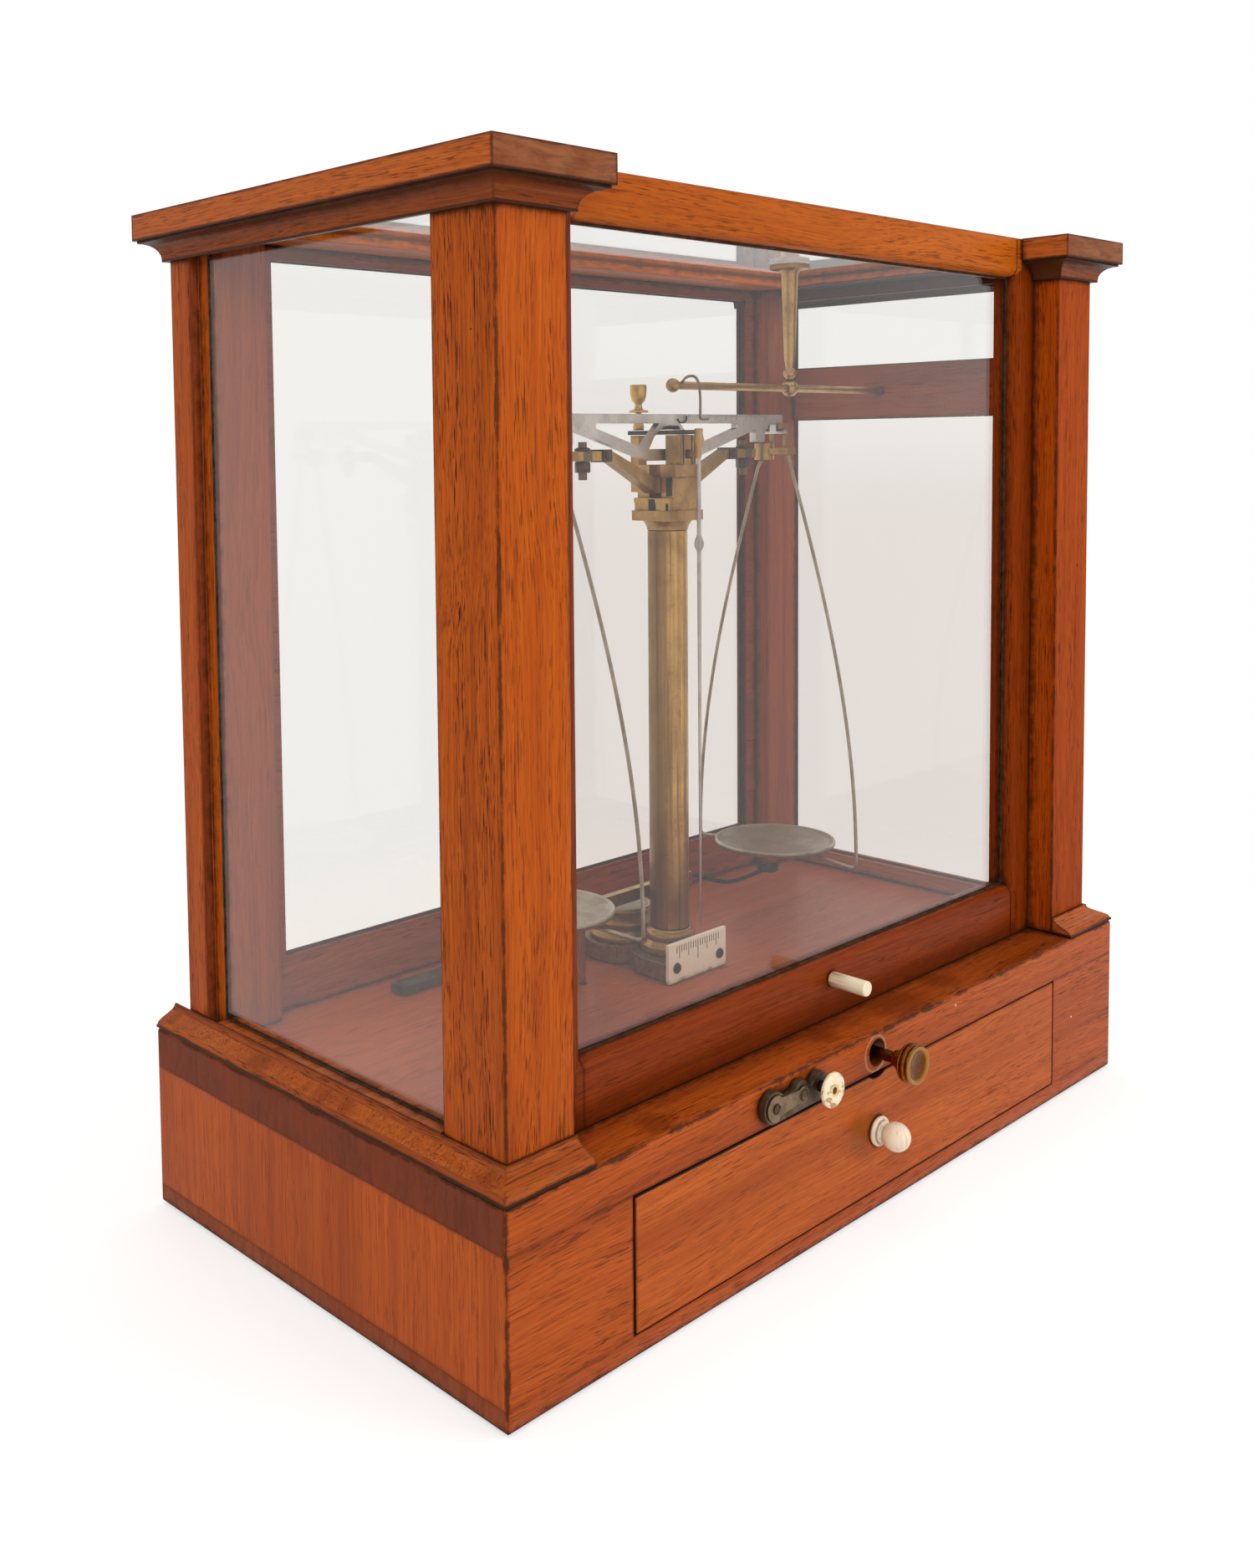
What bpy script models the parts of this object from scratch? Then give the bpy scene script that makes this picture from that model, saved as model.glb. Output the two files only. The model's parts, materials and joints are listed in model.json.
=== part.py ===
# Analytical balance in a glazed hardwood case, modelled as separate pieces.
# Metres, +Z up, +X to the right, +Y to the back.
# The origin is the middle of the underside of the base.

import math

import bmesh
import bpy
from mathutils import Matrix, Vector

# Fits
seatGap = 0.0003
slideGap = 0.0006
boreGap = 0.0002

# Base box
baseWidth = 0.440
baseDepth = 0.226
baseHeight = 0.0793
topBoard = 0.0170
bottomBoard = 0.0090
sideBoard = 0.0120
backBoard = 0.0120
stileThick = 0.0150
bottomRound = 0.0025

# Posts and mouldings
postWidth = 0.0340
postDepth = 0.0334
postInset = 0.0107
backPostDepth = 0.0233
rebateWide = 0.0087
rebateDeep = 0.0050
baseMouldingHigh = 0.0085
sillWide = 0.0110
sillHigh = 0.0091
caseHeight = 0.4340
slabThick = 0.0110
slabOverhang = 0.0114
coveHigh = 0.0090
coveReach = 0.0096
coveFoot = 0.0022
returnLength = 0.0590
returnDepth = 0.0241
railWide = 0.0130
railHigh = 0.0060

# Panes and the frames that hold them
paneThick = 0.0020
paneSet = 0.0043
crossRailThick = 0.0080
crossRailBelow = 0.0153
crossRailAbove = 0.0148
topRailHigh = 0.0110
topRailWide = 0.0170
topLedge = 0.0060
topPaneDrop = 0.0040
topBackRailWide = 0.0310
backFrameInset = 0.0143
backFrameThick = 0.0080
backStile = 0.0090
backBottomRail = 0.0250
backTopRail = 0.0060

# Sliding front sash
sashThick = 0.0140
sashStile = 0.0170
sashTopRail = 0.0190
sashBottomRail = 0.0260
sashRound = 0.0045
tongueWide = 0.0050
tongueDeep = 0.0047
pegRadius = 0.0034
pegLength = 0.0190
pegHeight = 0.0174

# Drawer
drawerOpening = 0.3140
drawerFrontThick = 0.0120
drawerReveal = 0.0008
drawerLength = 0.1600
drawerWall = 0.0060
drawerFloor = 0.0040
drawerBoxHigh = 0.0420
drawerBoxInset = 0.0030
drawerKnobHeight = 0.0360
drawerKnobFlange = 0.0065
drawerKnobNeck = 0.0043
drawerKnobBall = 0.0062
drawerKnobReach = 0.0093

# Column and its foot
columnY = 0.0055
columnRadius = 0.0095
columnBore = 0.0060
plinthHigh = 0.0090
plinthHalf = 0.0200
plinthFront = -0.0100
plinthWaist = 0.0130
plinthLobe = 0.0200
levelY = 0.0360
levelRadius = 0.0165
levelHigh = 0.0160
footRadius = 0.0140
footHigh = 0.0112
capitalDrop = 0.1410
indexWidth = 0.0424
indexHigh = 0.0190
indexThick = 0.0020

# Head of the column
slabRise = 0.0045
slabHalf = 0.0120
upperSlabHalf = 0.0110
upperSlabRise = 0.0090
neckRise = 0.0130
neckTopRise = 0.0150
cheekHalf = 0.0085
cheekThick = 0.0075
upperCheekHalf = 0.0055
upperCheekThick = 0.0092
collarRise = 0.0255
collarTopRise = 0.0310
collarHalf = 0.0095
bearingRise = 0.0450
bearingThick = 0.0020
bearingHalf = 0.0050
bearingFront = -0.0090
rearPostY = 0.0236
rearPostHalf = 0.0026
rearPostRise = 0.0180
rearBridgeHigh = 0.0050
finialHigh = 0.0220
finialCup = 0.0041

# Arresting gear
shaftDrop = 0.0088
shaftRadius = 0.0025
shaftMouth = 0.0060
shaftMouthDeep = 0.0100
notchRadius = 0.0110
camRadius = 0.0032
camThrow = 0.0010
camWide = 0.0050
camPocketHalf = 0.0052
camPocketRoom = 0.0015
knobRadius = 0.0086
knobReach = 0.0206
knobDepth = 0.0118
rodRadius = 0.0024
rodCamGap = 0.0005
armWide = 0.0070
armRootRise = 0.0176
armRootTopRise = 0.0250
armRootX = 0.0120
armElbowX = 0.0420
armRise = 0.0335
armTopRise = 0.0380
armEndX = 0.0640
pinX = 0.0580
pinRadius = 0.0020
pinRise = 0.0250
pinTopRise = 0.0422

# Pan arrest
buttonX = -0.0468
buttonDrop = 0.0083
buttonRadius = 0.0073
buttonThick = 0.0026
buttonReach = 0.0110
buttonHole = 0.0012
stemRadius = 0.0020
wedgeY = 0.0200
wedgeHalf = 0.0026
wedgeSlope = 0.75
wedgeGap = 0.0004
plateThick = 0.0035
plateEndX = -0.0775
plateEndRadius = 0.0065
plateBossX = -0.0595
plateBossRadius = 0.0046
plateStemRadius = 0.0058
arrestBarLow = 0.1115
arrestBarHigh = 0.1175
arrestBarHalf = 0.0020
arrestBarLeft = -0.0500
arrestBarRight = 0.0320
arrestWire = 0.0012
padX = 0.0780
padRadius = 0.0055
padLow = 0.1115
padTop = 0.1140

# Beam, pointer and hangers
beamY = columnY
beamThick = 0.0040
beamRise = 0.0550
beamBar = 0.0044
beamHalf = 0.0880
hubRise = 0.0330
hubHalf = 0.0140
hubHigh = 0.0055
chordStartX = 0.0223
chordStartRise = 0.0350
chordEndRise = 0.0476
chordThick = 0.0050
blockRise = 0.0413
blockStartX = 0.0660
blockEndX = 0.0730
tipStartX = 0.0775
windowInnerX = 0.0075
windowOuterX = 0.0510
archFootX = 0.0150
archCrownX = 0.0065
archCrownRise = 0.0492
knifeGap = 0.0003
knifeHalf = 0.0015
knifeFront = -0.0030
knifeBack = 0.0140
hangX = 0.0840
endKnifeHalf = 0.0014
endKnifeHigh = 0.0024
endKnifeReach = 0.0050
pointerY = -0.0140
pointerTip = 0.1050
pointerRadius = 0.0010
pointerArm = 0.0012
pointerJointRise = 0.0360
pointerRise = 0.0480
pointerBoss = 0.0026
poiseDrop = 0.0060
poiseRadius = 0.0023
poiseHalf = 0.0042
stirrupRise = 0.0348
stirrupTopRise = 0.0380
stirrupFront = -0.0100
stirrupBack = 0.0110
stirrupHalf = 0.0022
hookThick = 0.0020
hookOffset = 0.0042
hookPost = 0.0020
hookTop = 0.0026
drumY = 0.0120
drumRadius = 0.0050
drumRise = 0.0320
drumTopRise = 0.0405
bowTop = 0.0085
bowSpread = 0.0500
bowWire = 0.0009
leftBowTwist = 12.0
rightBowTwist = 0.0
bowLow = 0.1225
panRadius = 0.0310
panLow = 0.1238
panHigh = 0.1272
panDish = 0.0006
panRim = 0.0012

# Rider gear
riderInset = 0.0613
riderY = 0.0180
riderRise = 0.0695
riderRod = 0.0020
riderBall = 0.0035
riderStart = 0.0190
bushRadius = 0.0045
hangerFlange = 0.0105
hangerFlangeHigh = 0.0024
hangerTopRadius = 0.0045
hangerFootRadius = 0.0026
riderKnobRadius = 0.0070
riderKnobLong = 0.0100
riderWire = 0.0007
riderHookX = 0.0260
riderFootX = 0.0145
riderFootY = -0.0030
riderFootRise = 0.0526
riderFootLong = 0.0060

# Places worked out from the sizes above
capitalLow = caseHeight - capitalDrop
slabLow = capitalLow + slabRise
upperSlabLow = capitalLow + upperSlabRise
neckLow = capitalLow + neckRise
neckTop = capitalLow + neckTopRise
collarLow = capitalLow + collarRise
collarTop = capitalLow + collarTopRise
bearingLow = capitalLow + bearingRise
rearPostLow = capitalLow + rearPostRise
armRootLow = capitalLow + armRootRise
armRootTop = capitalLow + armRootTopRise
armLow = capitalLow + armRise
armTop = capitalLow + armTopRise
pinLow = capitalLow + pinRise
pinTop = capitalLow + pinTopRise
beamTop = capitalLow + beamRise
hubLow = capitalLow + hubRise
chordStartZ = capitalLow + chordStartRise
chordEndZ = capitalLow + chordEndRise
blockLow = capitalLow + blockRise
archCrownZ = capitalLow + archCrownRise
pointerJointZ = capitalLow + pointerJointRise
pointerTop = capitalLow + pointerRise
poiseHeight = capitalLow - poiseDrop
stirrupLow = capitalLow + stirrupRise
stirrupHigh = capitalLow + stirrupTopRise
drumLow = capitalLow + drumRise
drumTop = capitalLow + drumTopRise
riderHeight = capitalLow + riderRise
riderFootZ = capitalLow + riderFootRise
halfWidth = baseWidth / 2
halfDepth = baseDepth / 2
floorZ = baseHeight
shaftHeight = floorZ - shaftDrop
buttonHeight = floorZ - buttonDrop
boardLow = baseHeight - topBoard
postOuter = halfWidth - postInset
postInner = postOuter - postWidth
riderX = postInner - riderInset
postFront = -halfDepth + postInset
postBack = postFront + postDepth
backPostBack = halfDepth - postInset
backPostFront = backPostBack - backPostDepth
backFrameFront = backPostBack - backFrameInset
slabLowZ = caseHeight - slabThick
coveLowZ = slabLowZ - coveHigh
slabOuter = postOuter + slabOverhang
slabFront = postFront - slabOverhang
slabBack = backPostBack + slabOverhang
returnInner = slabOuter - returnLength
returnBack = slabFront + returnDepth
sashFront = returnBack + seatGap
sashBack = sashFront + sashThick
sashOuter = postInner - slideGap
sashLow = floorZ + seatGap
sashSight = sashOuter - sashStile
sashMiddleY = (sashFront + sashBack) / 2
sideFront = postBack + seatGap
sideBack = backPostFront - seatGap
sillTop = floorZ + sillHigh
railLow = slabLowZ - railHigh
paneOuter = postOuter - paneSet
paneInner = paneOuter - paneThick
plinthLow = floorZ + seatGap
plinthTop = plinthLow + plinthHigh
footLow = plinthTop + seatGap
tubeLow = footLow + footHigh + seatGap
slotHalf = armWide / 2 + seatGap
bearingTop = bearingLow + seatGap + bearingThick
pivotZ = bearingTop + knifeGap
camHigh = shaftHeight + camThrow + camRadius
rodLow = camHigh + rodCamGap
camPocketTop = camHigh + camPocketRoom
topPaneLow = caseHeight - topPaneDrop - paneThick
crossRailLow = riderHeight - crossRailBelow
crossRailHigh = riderHeight + crossRailAbove
knobFace = -halfDepth - knobReach
buttonFace = -halfDepth - buttonReach

wood = ((0.42, 0.14, 0.04), 0.35, 0.0)
glass = ((0.85, 0.88, 0.88), 0.05, 0.0)
brass = ((0.38, 0.25, 0.11), 0.4, 1.0)
bronze = ((0.10, 0.08, 0.05), 0.5, 1.0)
bone = ((0.80, 0.68, 0.48), 0.45, 0.0)
steel = ((0.12, 0.11, 0.10), 0.4, 1.0)
silver = ((0.58, 0.56, 0.54), 0.35, 1.0)
nickel = ((0.38, 0.36, 0.29), 0.45, 1.0)


def clearScene():
    for item in list(bpy.data.objects):
        bpy.data.objects.remove(item, do_unlink=True)


def finishFor(name, finish):
    colour, roughness, metallic = finish
    surface = bpy.data.materials.new(name)
    surface.use_nodes = True
    shader = surface.node_tree.nodes["Principled BSDF"]
    shader.inputs["Base Color"].default_value = (*colour, 1.0)
    shader.inputs["Roughness"].default_value = roughness
    shader.inputs["Metallic"].default_value = metallic
    return surface


def place(name, body, finish, pivot=None, smooth=False):
    """Turn a bmesh into a named object, carried by a pivot empty where it moves."""
    bmesh.ops.recalc_face_normals(body, faces=body.faces)
    mesh = bpy.data.meshes.new(name)
    body.to_mesh(mesh)
    body.free()
    if smooth:
        mesh.shade_smooth()
        mesh.set_sharp_from_angle(angle=math.radians(35))
    mesh.materials.append(finishFor(name, finish))
    item = bpy.data.objects.new(name, mesh)
    bpy.context.scene.collection.objects.link(item)
    if pivot is not None:
        item.parent = pivot
        item.matrix_parent_inverse = Matrix.Translation(-pivot.location)
    return item


def pivotAt(name, where):
    empty = bpy.data.objects.new(name, None)
    empty.empty_display_size = 0.01
    empty.location = where
    bpy.context.scene.collection.objects.link(empty)
    return empty


def guide(item):
    item.hide_render = True
    item.display_type = 'WIRE'
    return item


def combine(target, tool, operation):
    """Cut a guide out of a piece, or weld it on."""
    guide(tool)
    step = target.modifiers.new(tool.name, 'BOOLEAN')
    step.operation = operation
    step.solver = 'EXACT'
    step.object = tool
    return target


def cut(target, tool):
    return combine(target, tool, 'DIFFERENCE')


def weld(target, tool):
    return combine(target, tool, 'UNION')


def loft(rings, capped=True):
    """Skin a row of rings of equal count; uncapped rows close on themselves."""
    body = bmesh.new()
    rows = [[body.verts.new(point) for point in ring] for ring in rings]
    count = len(rows[0])
    for first, second in zip(rows, rows[1:]):
        for i in range(count):
            j = (i + 1) % count
            body.faces.new((first[i], first[j], second[j], second[i]))
    if capped:
        body.faces.new(rows[0])
        body.faces.new(rows[-1])
    else:
        for i in range(count):
            j = (i + 1) % count
            body.faces.new((rows[-1][i], rows[-1][j], rows[0][j], rows[0][i]))
    return body


def spot(axis, u, v, along):
    """A point from two outline values and a distance along X, Y or Z."""
    if axis == 'X':
        return Vector((along, u, v))
    if axis == 'Y':
        return Vector((u, along, v))
    return Vector((u, v, along))


def prism(name, axis, outline, start, end, finish, pivot=None):
    rings = [[spot(axis, u, v, along) for u, v in outline] for along in (start, end)]
    return place(name, loft(rings), finish, pivot)


def block(name, low, high, finish, pivot=None):
    outline = [(low[0], low[1]), (high[0], low[1]), (high[0], high[1]), (low[0], high[1])]
    return prism(name, 'Z', outline, low[2], high[2], finish, pivot)


def circle(radius, segments=32, centre=(0.0, 0.0)):
    step = 2 * math.pi / segments
    return [(centre[0] + radius * math.cos(step * i), centre[1] + radius * math.sin(step * i))
            for i in range(segments)]


def arc(centre, radius, startDeg, endDeg, steps):
    turn = (endDeg - startDeg) / steps
    angles = [math.radians(startDeg + turn * i) for i in range(steps + 1)]
    return [(centre[0] + radius * math.cos(a), centre[1] + radius * math.sin(a)) for a in angles]


def round_(name, axis, centre, radius, start, end, finish, pivot=None, segments=20):
    """A plain round bar along X, Y or Z, with centre in the other two."""
    item = prism(name, axis, circle(radius, segments, centre), start, end, finish, pivot)
    item.data.shade_smooth()
    item.data.set_sharp_from_angle(angle=math.radians(35))
    return item


def turned(name, axis, centre, profile, finish, pivot=None, segments=32, hollow=False):
    """Turn (radius, distance[, offset]) steps about an axis; hollow profiles are closed loops."""
    rings = []
    for step in profile:
        shift = step[2] if len(step) > 2 else 0.0
        middle = (centre[0], centre[1] + shift)
        ring = circle(step[0], segments, middle)
        rings.append([spot(axis, u, v, step[1]) for u, v in ring])
    return place(name, loft(rings, capped=not hollow), finish, pivot, smooth=True)


def smoothPath(points, steps):
    """A smooth curve through hand-placed points, with even steps between them."""
    spots = [Vector(p) for p in points]
    spots = [2 * spots[0] - spots[1]] + spots + [2 * spots[-1] - spots[-2]]
    path = []
    for i in range(1, len(spots) - 2):
        a, b, c, d = spots[i - 1:i + 3]
        for k in range(steps):
            t = k / steps
            path.append(0.5 * ((2 * b) + (c - a) * t + (2 * a - 5 * b + 4 * c - d) * t ** 2
                               + (3 * b - a - 3 * c + d) * t ** 3))
    path.append(spots[-2])
    return path


def wire(name, path, radius, finish, pivot=None, sides=8):
    """A round wire carried along a path without twisting."""
    path = [Vector(p) for p in path]
    ahead = [(path[min(i + 1, len(path) - 1)] - path[max(i - 1, 0)]).normalized()
             for i in range(len(path))]
    across = ahead[0].orthogonal().normalized()
    rings = []
    for here, way in zip(path, ahead):
        across = (across - way * across.dot(way)).normalized()
        other = way.cross(across)
        turn = [2 * math.pi * k / sides for k in range(sides)]
        rings.append([here + radius * (across * math.cos(t) + other * math.sin(t)) for t in turn])
    return place(name, loft(rings), finish, pivot, smooth=True)


def mitred(name, profile, corners, outward, reach, finish):
    """Carry an (out, height) profile along axis-aligned legs with mitred corners."""
    rings = []
    legs = len(outward)
    for i, corner in enumerate(corners):
        before = outward[max(i - 1, 0)]
        after = outward[min(i, legs - 1)]
        pull = [before[k] * reach[max(i - 1, 0)] for k in (0, 1)]
        if i not in (0, legs):
            pull = [pull[k] + after[k] * reach[i] for k in (0, 1)]
        elif i == 0:
            pull = [after[k] * reach[0] for k in (0, 1)]
        rings.append([Vector((corner[0] + pull[0] * out, corner[1] + pull[1] * out, high))
                      for out, high in profile])
    return place(name, loft(rings), finish)


def mirrored(outline, side):
    return [(side * u, v) for u, v in outline]


def makeBase():
    wallLow = bottomBoard + seatGap
    wallHigh = boardLow - seatGap
    floorBoard = block("base_bottom_board", (-halfWidth, -halfDepth, 0.0),
                       (halfWidth, halfDepth, bottomBoard), wood)
    soften = floorBoard.modifiers.new("bottom edge", 'BEVEL')
    soften.width = bottomRound
    soften.segments = 2
    soften.limit_method = 'WEIGHT'
    weights = floorBoard.data.attributes.new("bevel_weight_edge", 'FLOAT', 'EDGE')
    for edge in floorBoard.data.edges:
        ends = [floorBoard.data.vertices[v].co.z for v in edge.vertices]
        weights.data[edge.index].value = 1.0 if max(ends) < bottomBoard / 2 else 0.0
    stileBack = -halfDepth + stileThick
    for label, side in (("left", -1), ("right", 1)):
        xs = sorted((side * halfWidth, side * (halfWidth - sideBoard)))
        block("base_" + label + "_side", (xs[0], stileBack + seatGap, wallLow),
              (xs[1], halfDepth, wallHigh), wood)
        xs = sorted((side * halfWidth, side * drawerOpening / 2))
        block("base_" + label + "_stile", (xs[0], -halfDepth, wallLow),
              (xs[1], stileBack, wallHigh), wood)
    inside = halfWidth - sideBoard - seatGap
    block("base_back_board", (-inside, halfDepth - backBoard, wallLow),
          (inside, halfDepth, wallHigh), wood)

    board = block("base_top_board", (-halfWidth, -halfDepth, boardLow),
                  (halfWidth, halfDepth, floorZ), wood)
    past = -halfDepth - seatGap
    shaftEnd = columnY + camWide + shaftMouthDeep
    mouth = (0.0, shaftHeight)
    cut(board, round_("shaft_mouth", 'Y', mouth, shaftMouth, past,
                      -halfDepth + shaftMouthDeep, steel))
    cut(board, round_("shaft_bore", 'Y', mouth, shaftRadius + boreGap, past, shaftEnd, steel))
    cut(board, block("cam_pocket", (-camPocketHalf, columnY - camWide, boardLow - seatGap),
                     (camPocketHalf, columnY + camWide, camPocketTop), steel))
    cut(board, round_("rod_bore", 'Z', (0.0, columnY), rodRadius + boreGap, shaftHeight,
                      floorZ + seatGap, steel))
    stemEnd = wedgeY + wedgeHalf + 2 * buttonThick
    cut(board, round_("stem_bore", 'Y', (buttonX, buttonHeight), stemRadius + boreGap, past,
                      stemEnd, steel))
    cut(board, round_("lift_bore", 'Z', (buttonX, wedgeY), stemRadius + boreGap, buttonHeight,
                      floorZ + seatGap, steel))

    low = floorZ + seatGap
    high = floorZ + baseMouldingHigh
    reachOut = postInset - seatGap
    swell = [(0.0, low), (1.0, low), (1.0, low + 0.10 * baseMouldingHigh)]
    for i in range(9):
        t = i / 8
        wave = 0.5 - 0.5 * math.cos(math.pi * t)
        rise = low + baseMouldingHigh * (0.16 + 0.72 * t)
        swell.append((0.94 - 0.84 * wave, rise))
    swell += [(0.08, high), (0.0, high)]
    for label, side in (("left", -1), ("right", 1)):
        outer = side * (postOuter + seatGap)
        corners = [(outer, halfDepth), (outer, postFront - seatGap),
                   (side * postInner, postFront - seatGap)]
        moulding = mitred("base_moulding_" + label, swell, corners, [(side, 0), (0, -1)],
                          [reachOut, reachOut], wood)
        xs = sorted((side * (postOuter + 2 * seatGap), side * (postOuter - sillWide)))
        sill = block("sill_" + label, (xs[0], sideFront, low), (xs[1], sideBack, sillTop), wood)
        weld(moulding, sill)


def makePosts():
    low = floorZ + seatGap
    high = slabLowZ - seatGap
    for label, side in (("left", -1), ("right", 1)):
        xs = sorted((side * postOuter, side * postInner))
        front = block("post_front_" + label, (xs[0], postFront, low), (xs[1], postBack, high), wood)
        cut(front, sashGroove("groove_post_" + label, side))
        plan = [(postOuter, backPostBack), (postInner, backPostBack), (postInner, backPostFront),
                (postOuter - rebateDeep, backPostFront),
                (postOuter - rebateDeep, backPostFront + rebateWide),
                (postOuter, backPostFront + rebateWide)]
        prism("post_back_" + label, 'Z', mirrored(plan, side), low, high, wood)


def sashGroove(name, side):
    half = tongueWide / 2 + seatGap
    xs = sorted((side * (postInner - seatGap), side * (postInner + tongueDeep + seatGap)))
    return block(name, (xs[0], sashMiddleY - half, floorZ), (xs[1], sashMiddleY + half,
                 caseHeight + seatGap), steel)


def makeCornice():
    weldDepth = seatGap / 3
    cove = [(0.0, coveLowZ), (coveFoot, coveLowZ), (coveFoot, coveLowZ + 0.1 * coveHigh)]
    bend = coveReach - coveFoot
    for i in range(7):
        angle = math.radians(90 * i / 6)
        rise = coveLowZ + coveHigh * (0.12 + 0.76 * math.sin(angle))
        cove.append((coveFoot + bend * (1 - math.cos(angle)), rise))
    cove += [(coveReach, slabLowZ + weldDepth), (0.0, slabLowZ + weldDepth)]
    scaled = [(out / coveReach, high) for out, high in cove]
    innerReach = coveReach + (postInner - returnInner) - slabOverhang
    for label, side in (("left", -1), ("right", 1)):
        plan = [(slabOuter, slabFront), (returnInner, slabFront), (returnInner, returnBack),
                (postInner, returnBack), (postInner, slabBack), (slabOuter, slabBack)]
        slab = prism("cornice_" + label, 'Z', mirrored(plan, side), slabLowZ, caseHeight, wood)
        outer = side * (postOuter + seatGap)
        inner = side * (postInner - seatGap)
        back = backPostBack + seatGap
        front = postFront - seatGap
        corners = [(side * postInner, back), (outer, back), (outer, front), (inner, front),
                   (inner, returnBack)]
        run = mitred("cove_" + label, scaled, corners, [(0, 1), (side, 0), (0, -1), (-side, 0)],
                     [coveReach, coveReach, coveReach, innerReach], wood)
        weld(slab, run)
        xs = sorted((side * postOuter, side * (postOuter - railWide)))
        rail = block("rail_" + label, (xs[0], sideFront, railLow),
                     (xs[1], sideBack, slabLowZ + weldDepth), wood)
        weld(slab, rail)
        cut(slab, sashGroove("groove_cornice_" + label, side))


def makePanes():
    paneLow = sillTop + seatGap
    paneHigh = railLow - seatGap
    block("left_glass", (-paneOuter, sideFront, paneLow), (-paneInner, sideBack, paneHigh), glass)
    block("right_glass_lower", (paneInner, sideFront, paneLow),
          (paneOuter, sideBack, crossRailLow - seatGap), glass)
    block("right_glass_upper", (paneInner, sideFront, crossRailHigh + seatGap),
          (paneOuter, sideBack, paneHigh), glass)
    middle = (paneInner + paneOuter) / 2
    rail = block("right_cross_rail", (middle - crossRailThick / 2, sideFront, crossRailLow),
                 (middle + crossRailThick / 2, sideBack, crossRailHigh), wood)
    cut(rail, round_("rider_hole", 'X', (riderY, riderHeight), riderRod + boreGap,
                     paneInner - crossRailThick, paneOuter + crossRailThick, steel))

    inside = postInner - seatGap
    low = caseHeight - topRailHigh
    ledgeTop = topPaneLow - seatGap
    front = sashBack + slideGap
    step = front + topRailWide
    plan = [(front, low), (step + topLedge, low), (step + topLedge, ledgeTop), (step, ledgeTop),
            (step, caseHeight), (front, caseHeight)]
    prism("top_front_rail", 'X', plan, -inside, inside, wood)
    back = backPostBack - seatGap
    backStep = back - topBackRailWide
    plan = [(back, low), (back, caseHeight), (backStep, caseHeight), (backStep, ledgeTop),
            (backStep - topLedge, ledgeTop), (backStep - topLedge, low)]
    prism("top_back_rail", 'X', plan, -inside, inside, wood)
    block("top_glass", (-inside, step + seatGap, topPaneLow),
          (inside, backStep - seatGap, topPaneLow + paneThick), glass)

    frameLow = floorZ + seatGap
    frameHigh = low - seatGap
    frameBack = backFrameFront + backFrameThick
    frame = block("back_frame", (-inside, backFrameFront, frameLow),
                  (inside, frameBack, frameHigh), wood)
    sight = (inside - backStile, frameLow + backBottomRail, frameHigh - backTopRail)
    cut(frame, block("back_window", (-sight[0], backFrameFront - seatGap, sight[1]),
                     (sight[0], frameBack + seatGap, sight[2]), steel))
    middle = (backFrameFront + frameBack) / 2
    block("back_glass", (-sight[0] + seatGap, middle - paneThick / 2, sight[1] + seatGap),
          (sight[0] - seatGap, middle + paneThick / 2, sight[2] - seatGap), glass)


def makeSash():
    carrier = pivotAt("sash_slide", (0.0, sashMiddleY, sashLow))
    tongueHalf = tongueWide / 2
    bend = arc((sashSight + sashRound, sashFront + sashRound), sashRound, 270, 180, 4)
    plan = [(sashOuter, sashFront)] + bend + [(sashSight, sashBack), (sashOuter, sashBack),
            (sashOuter, sashMiddleY + tongueHalf),
            (sashOuter + tongueDeep, sashMiddleY + tongueHalf),
            (sashOuter + tongueDeep, sashMiddleY - tongueHalf),
            (sashOuter, sashMiddleY - tongueHalf)]
    for label, side in (("left", -1), ("right", 1)):
        prism("sash_" + label + "_stile", 'Z', mirrored(plan, side), sashLow, caseHeight, wood,
              carrier)
    railEnd = sashSight - seatGap
    top = sashLow + sashBottomRail
    bend = arc((sashFront + sashRound, top - sashRound), sashRound, 180, 90, 4)
    section = [(sashFront, sashLow), *bend, (sashBack, top), (sashBack, sashLow)]
    prism("sash_bottom_rail", 'X', section, -railEnd, railEnd, wood, carrier)
    low = caseHeight - sashTopRail
    bend = arc((sashFront + sashRound, low + sashRound), sashRound, 270, 180, 4)
    section = [(sashBack, low), *bend, (sashFront, caseHeight), (sashBack, caseHeight)]
    prism("sash_top_rail", 'X', section, -railEnd, railEnd, wood, carrier)
    block("sash_glass", (-railEnd, sashMiddleY - paneThick / 2, top + seatGap),
          (railEnd, sashMiddleY + paneThick / 2, low - seatGap), glass, carrier)
    pegZ = sashLow + pegHeight
    tip = sashFront - pegLength
    shoulder = 0.15 * pegRadius
    turned("sash_peg", 'Y', (0.0, pegZ),
           [(pegRadius * 0.94, sashFront - seatGap), (pegRadius, sashFront - 4 * shoulder),
            (pegRadius, tip + shoulder), (pegRadius - shoulder, tip)], bone, carrier, 24)


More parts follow.
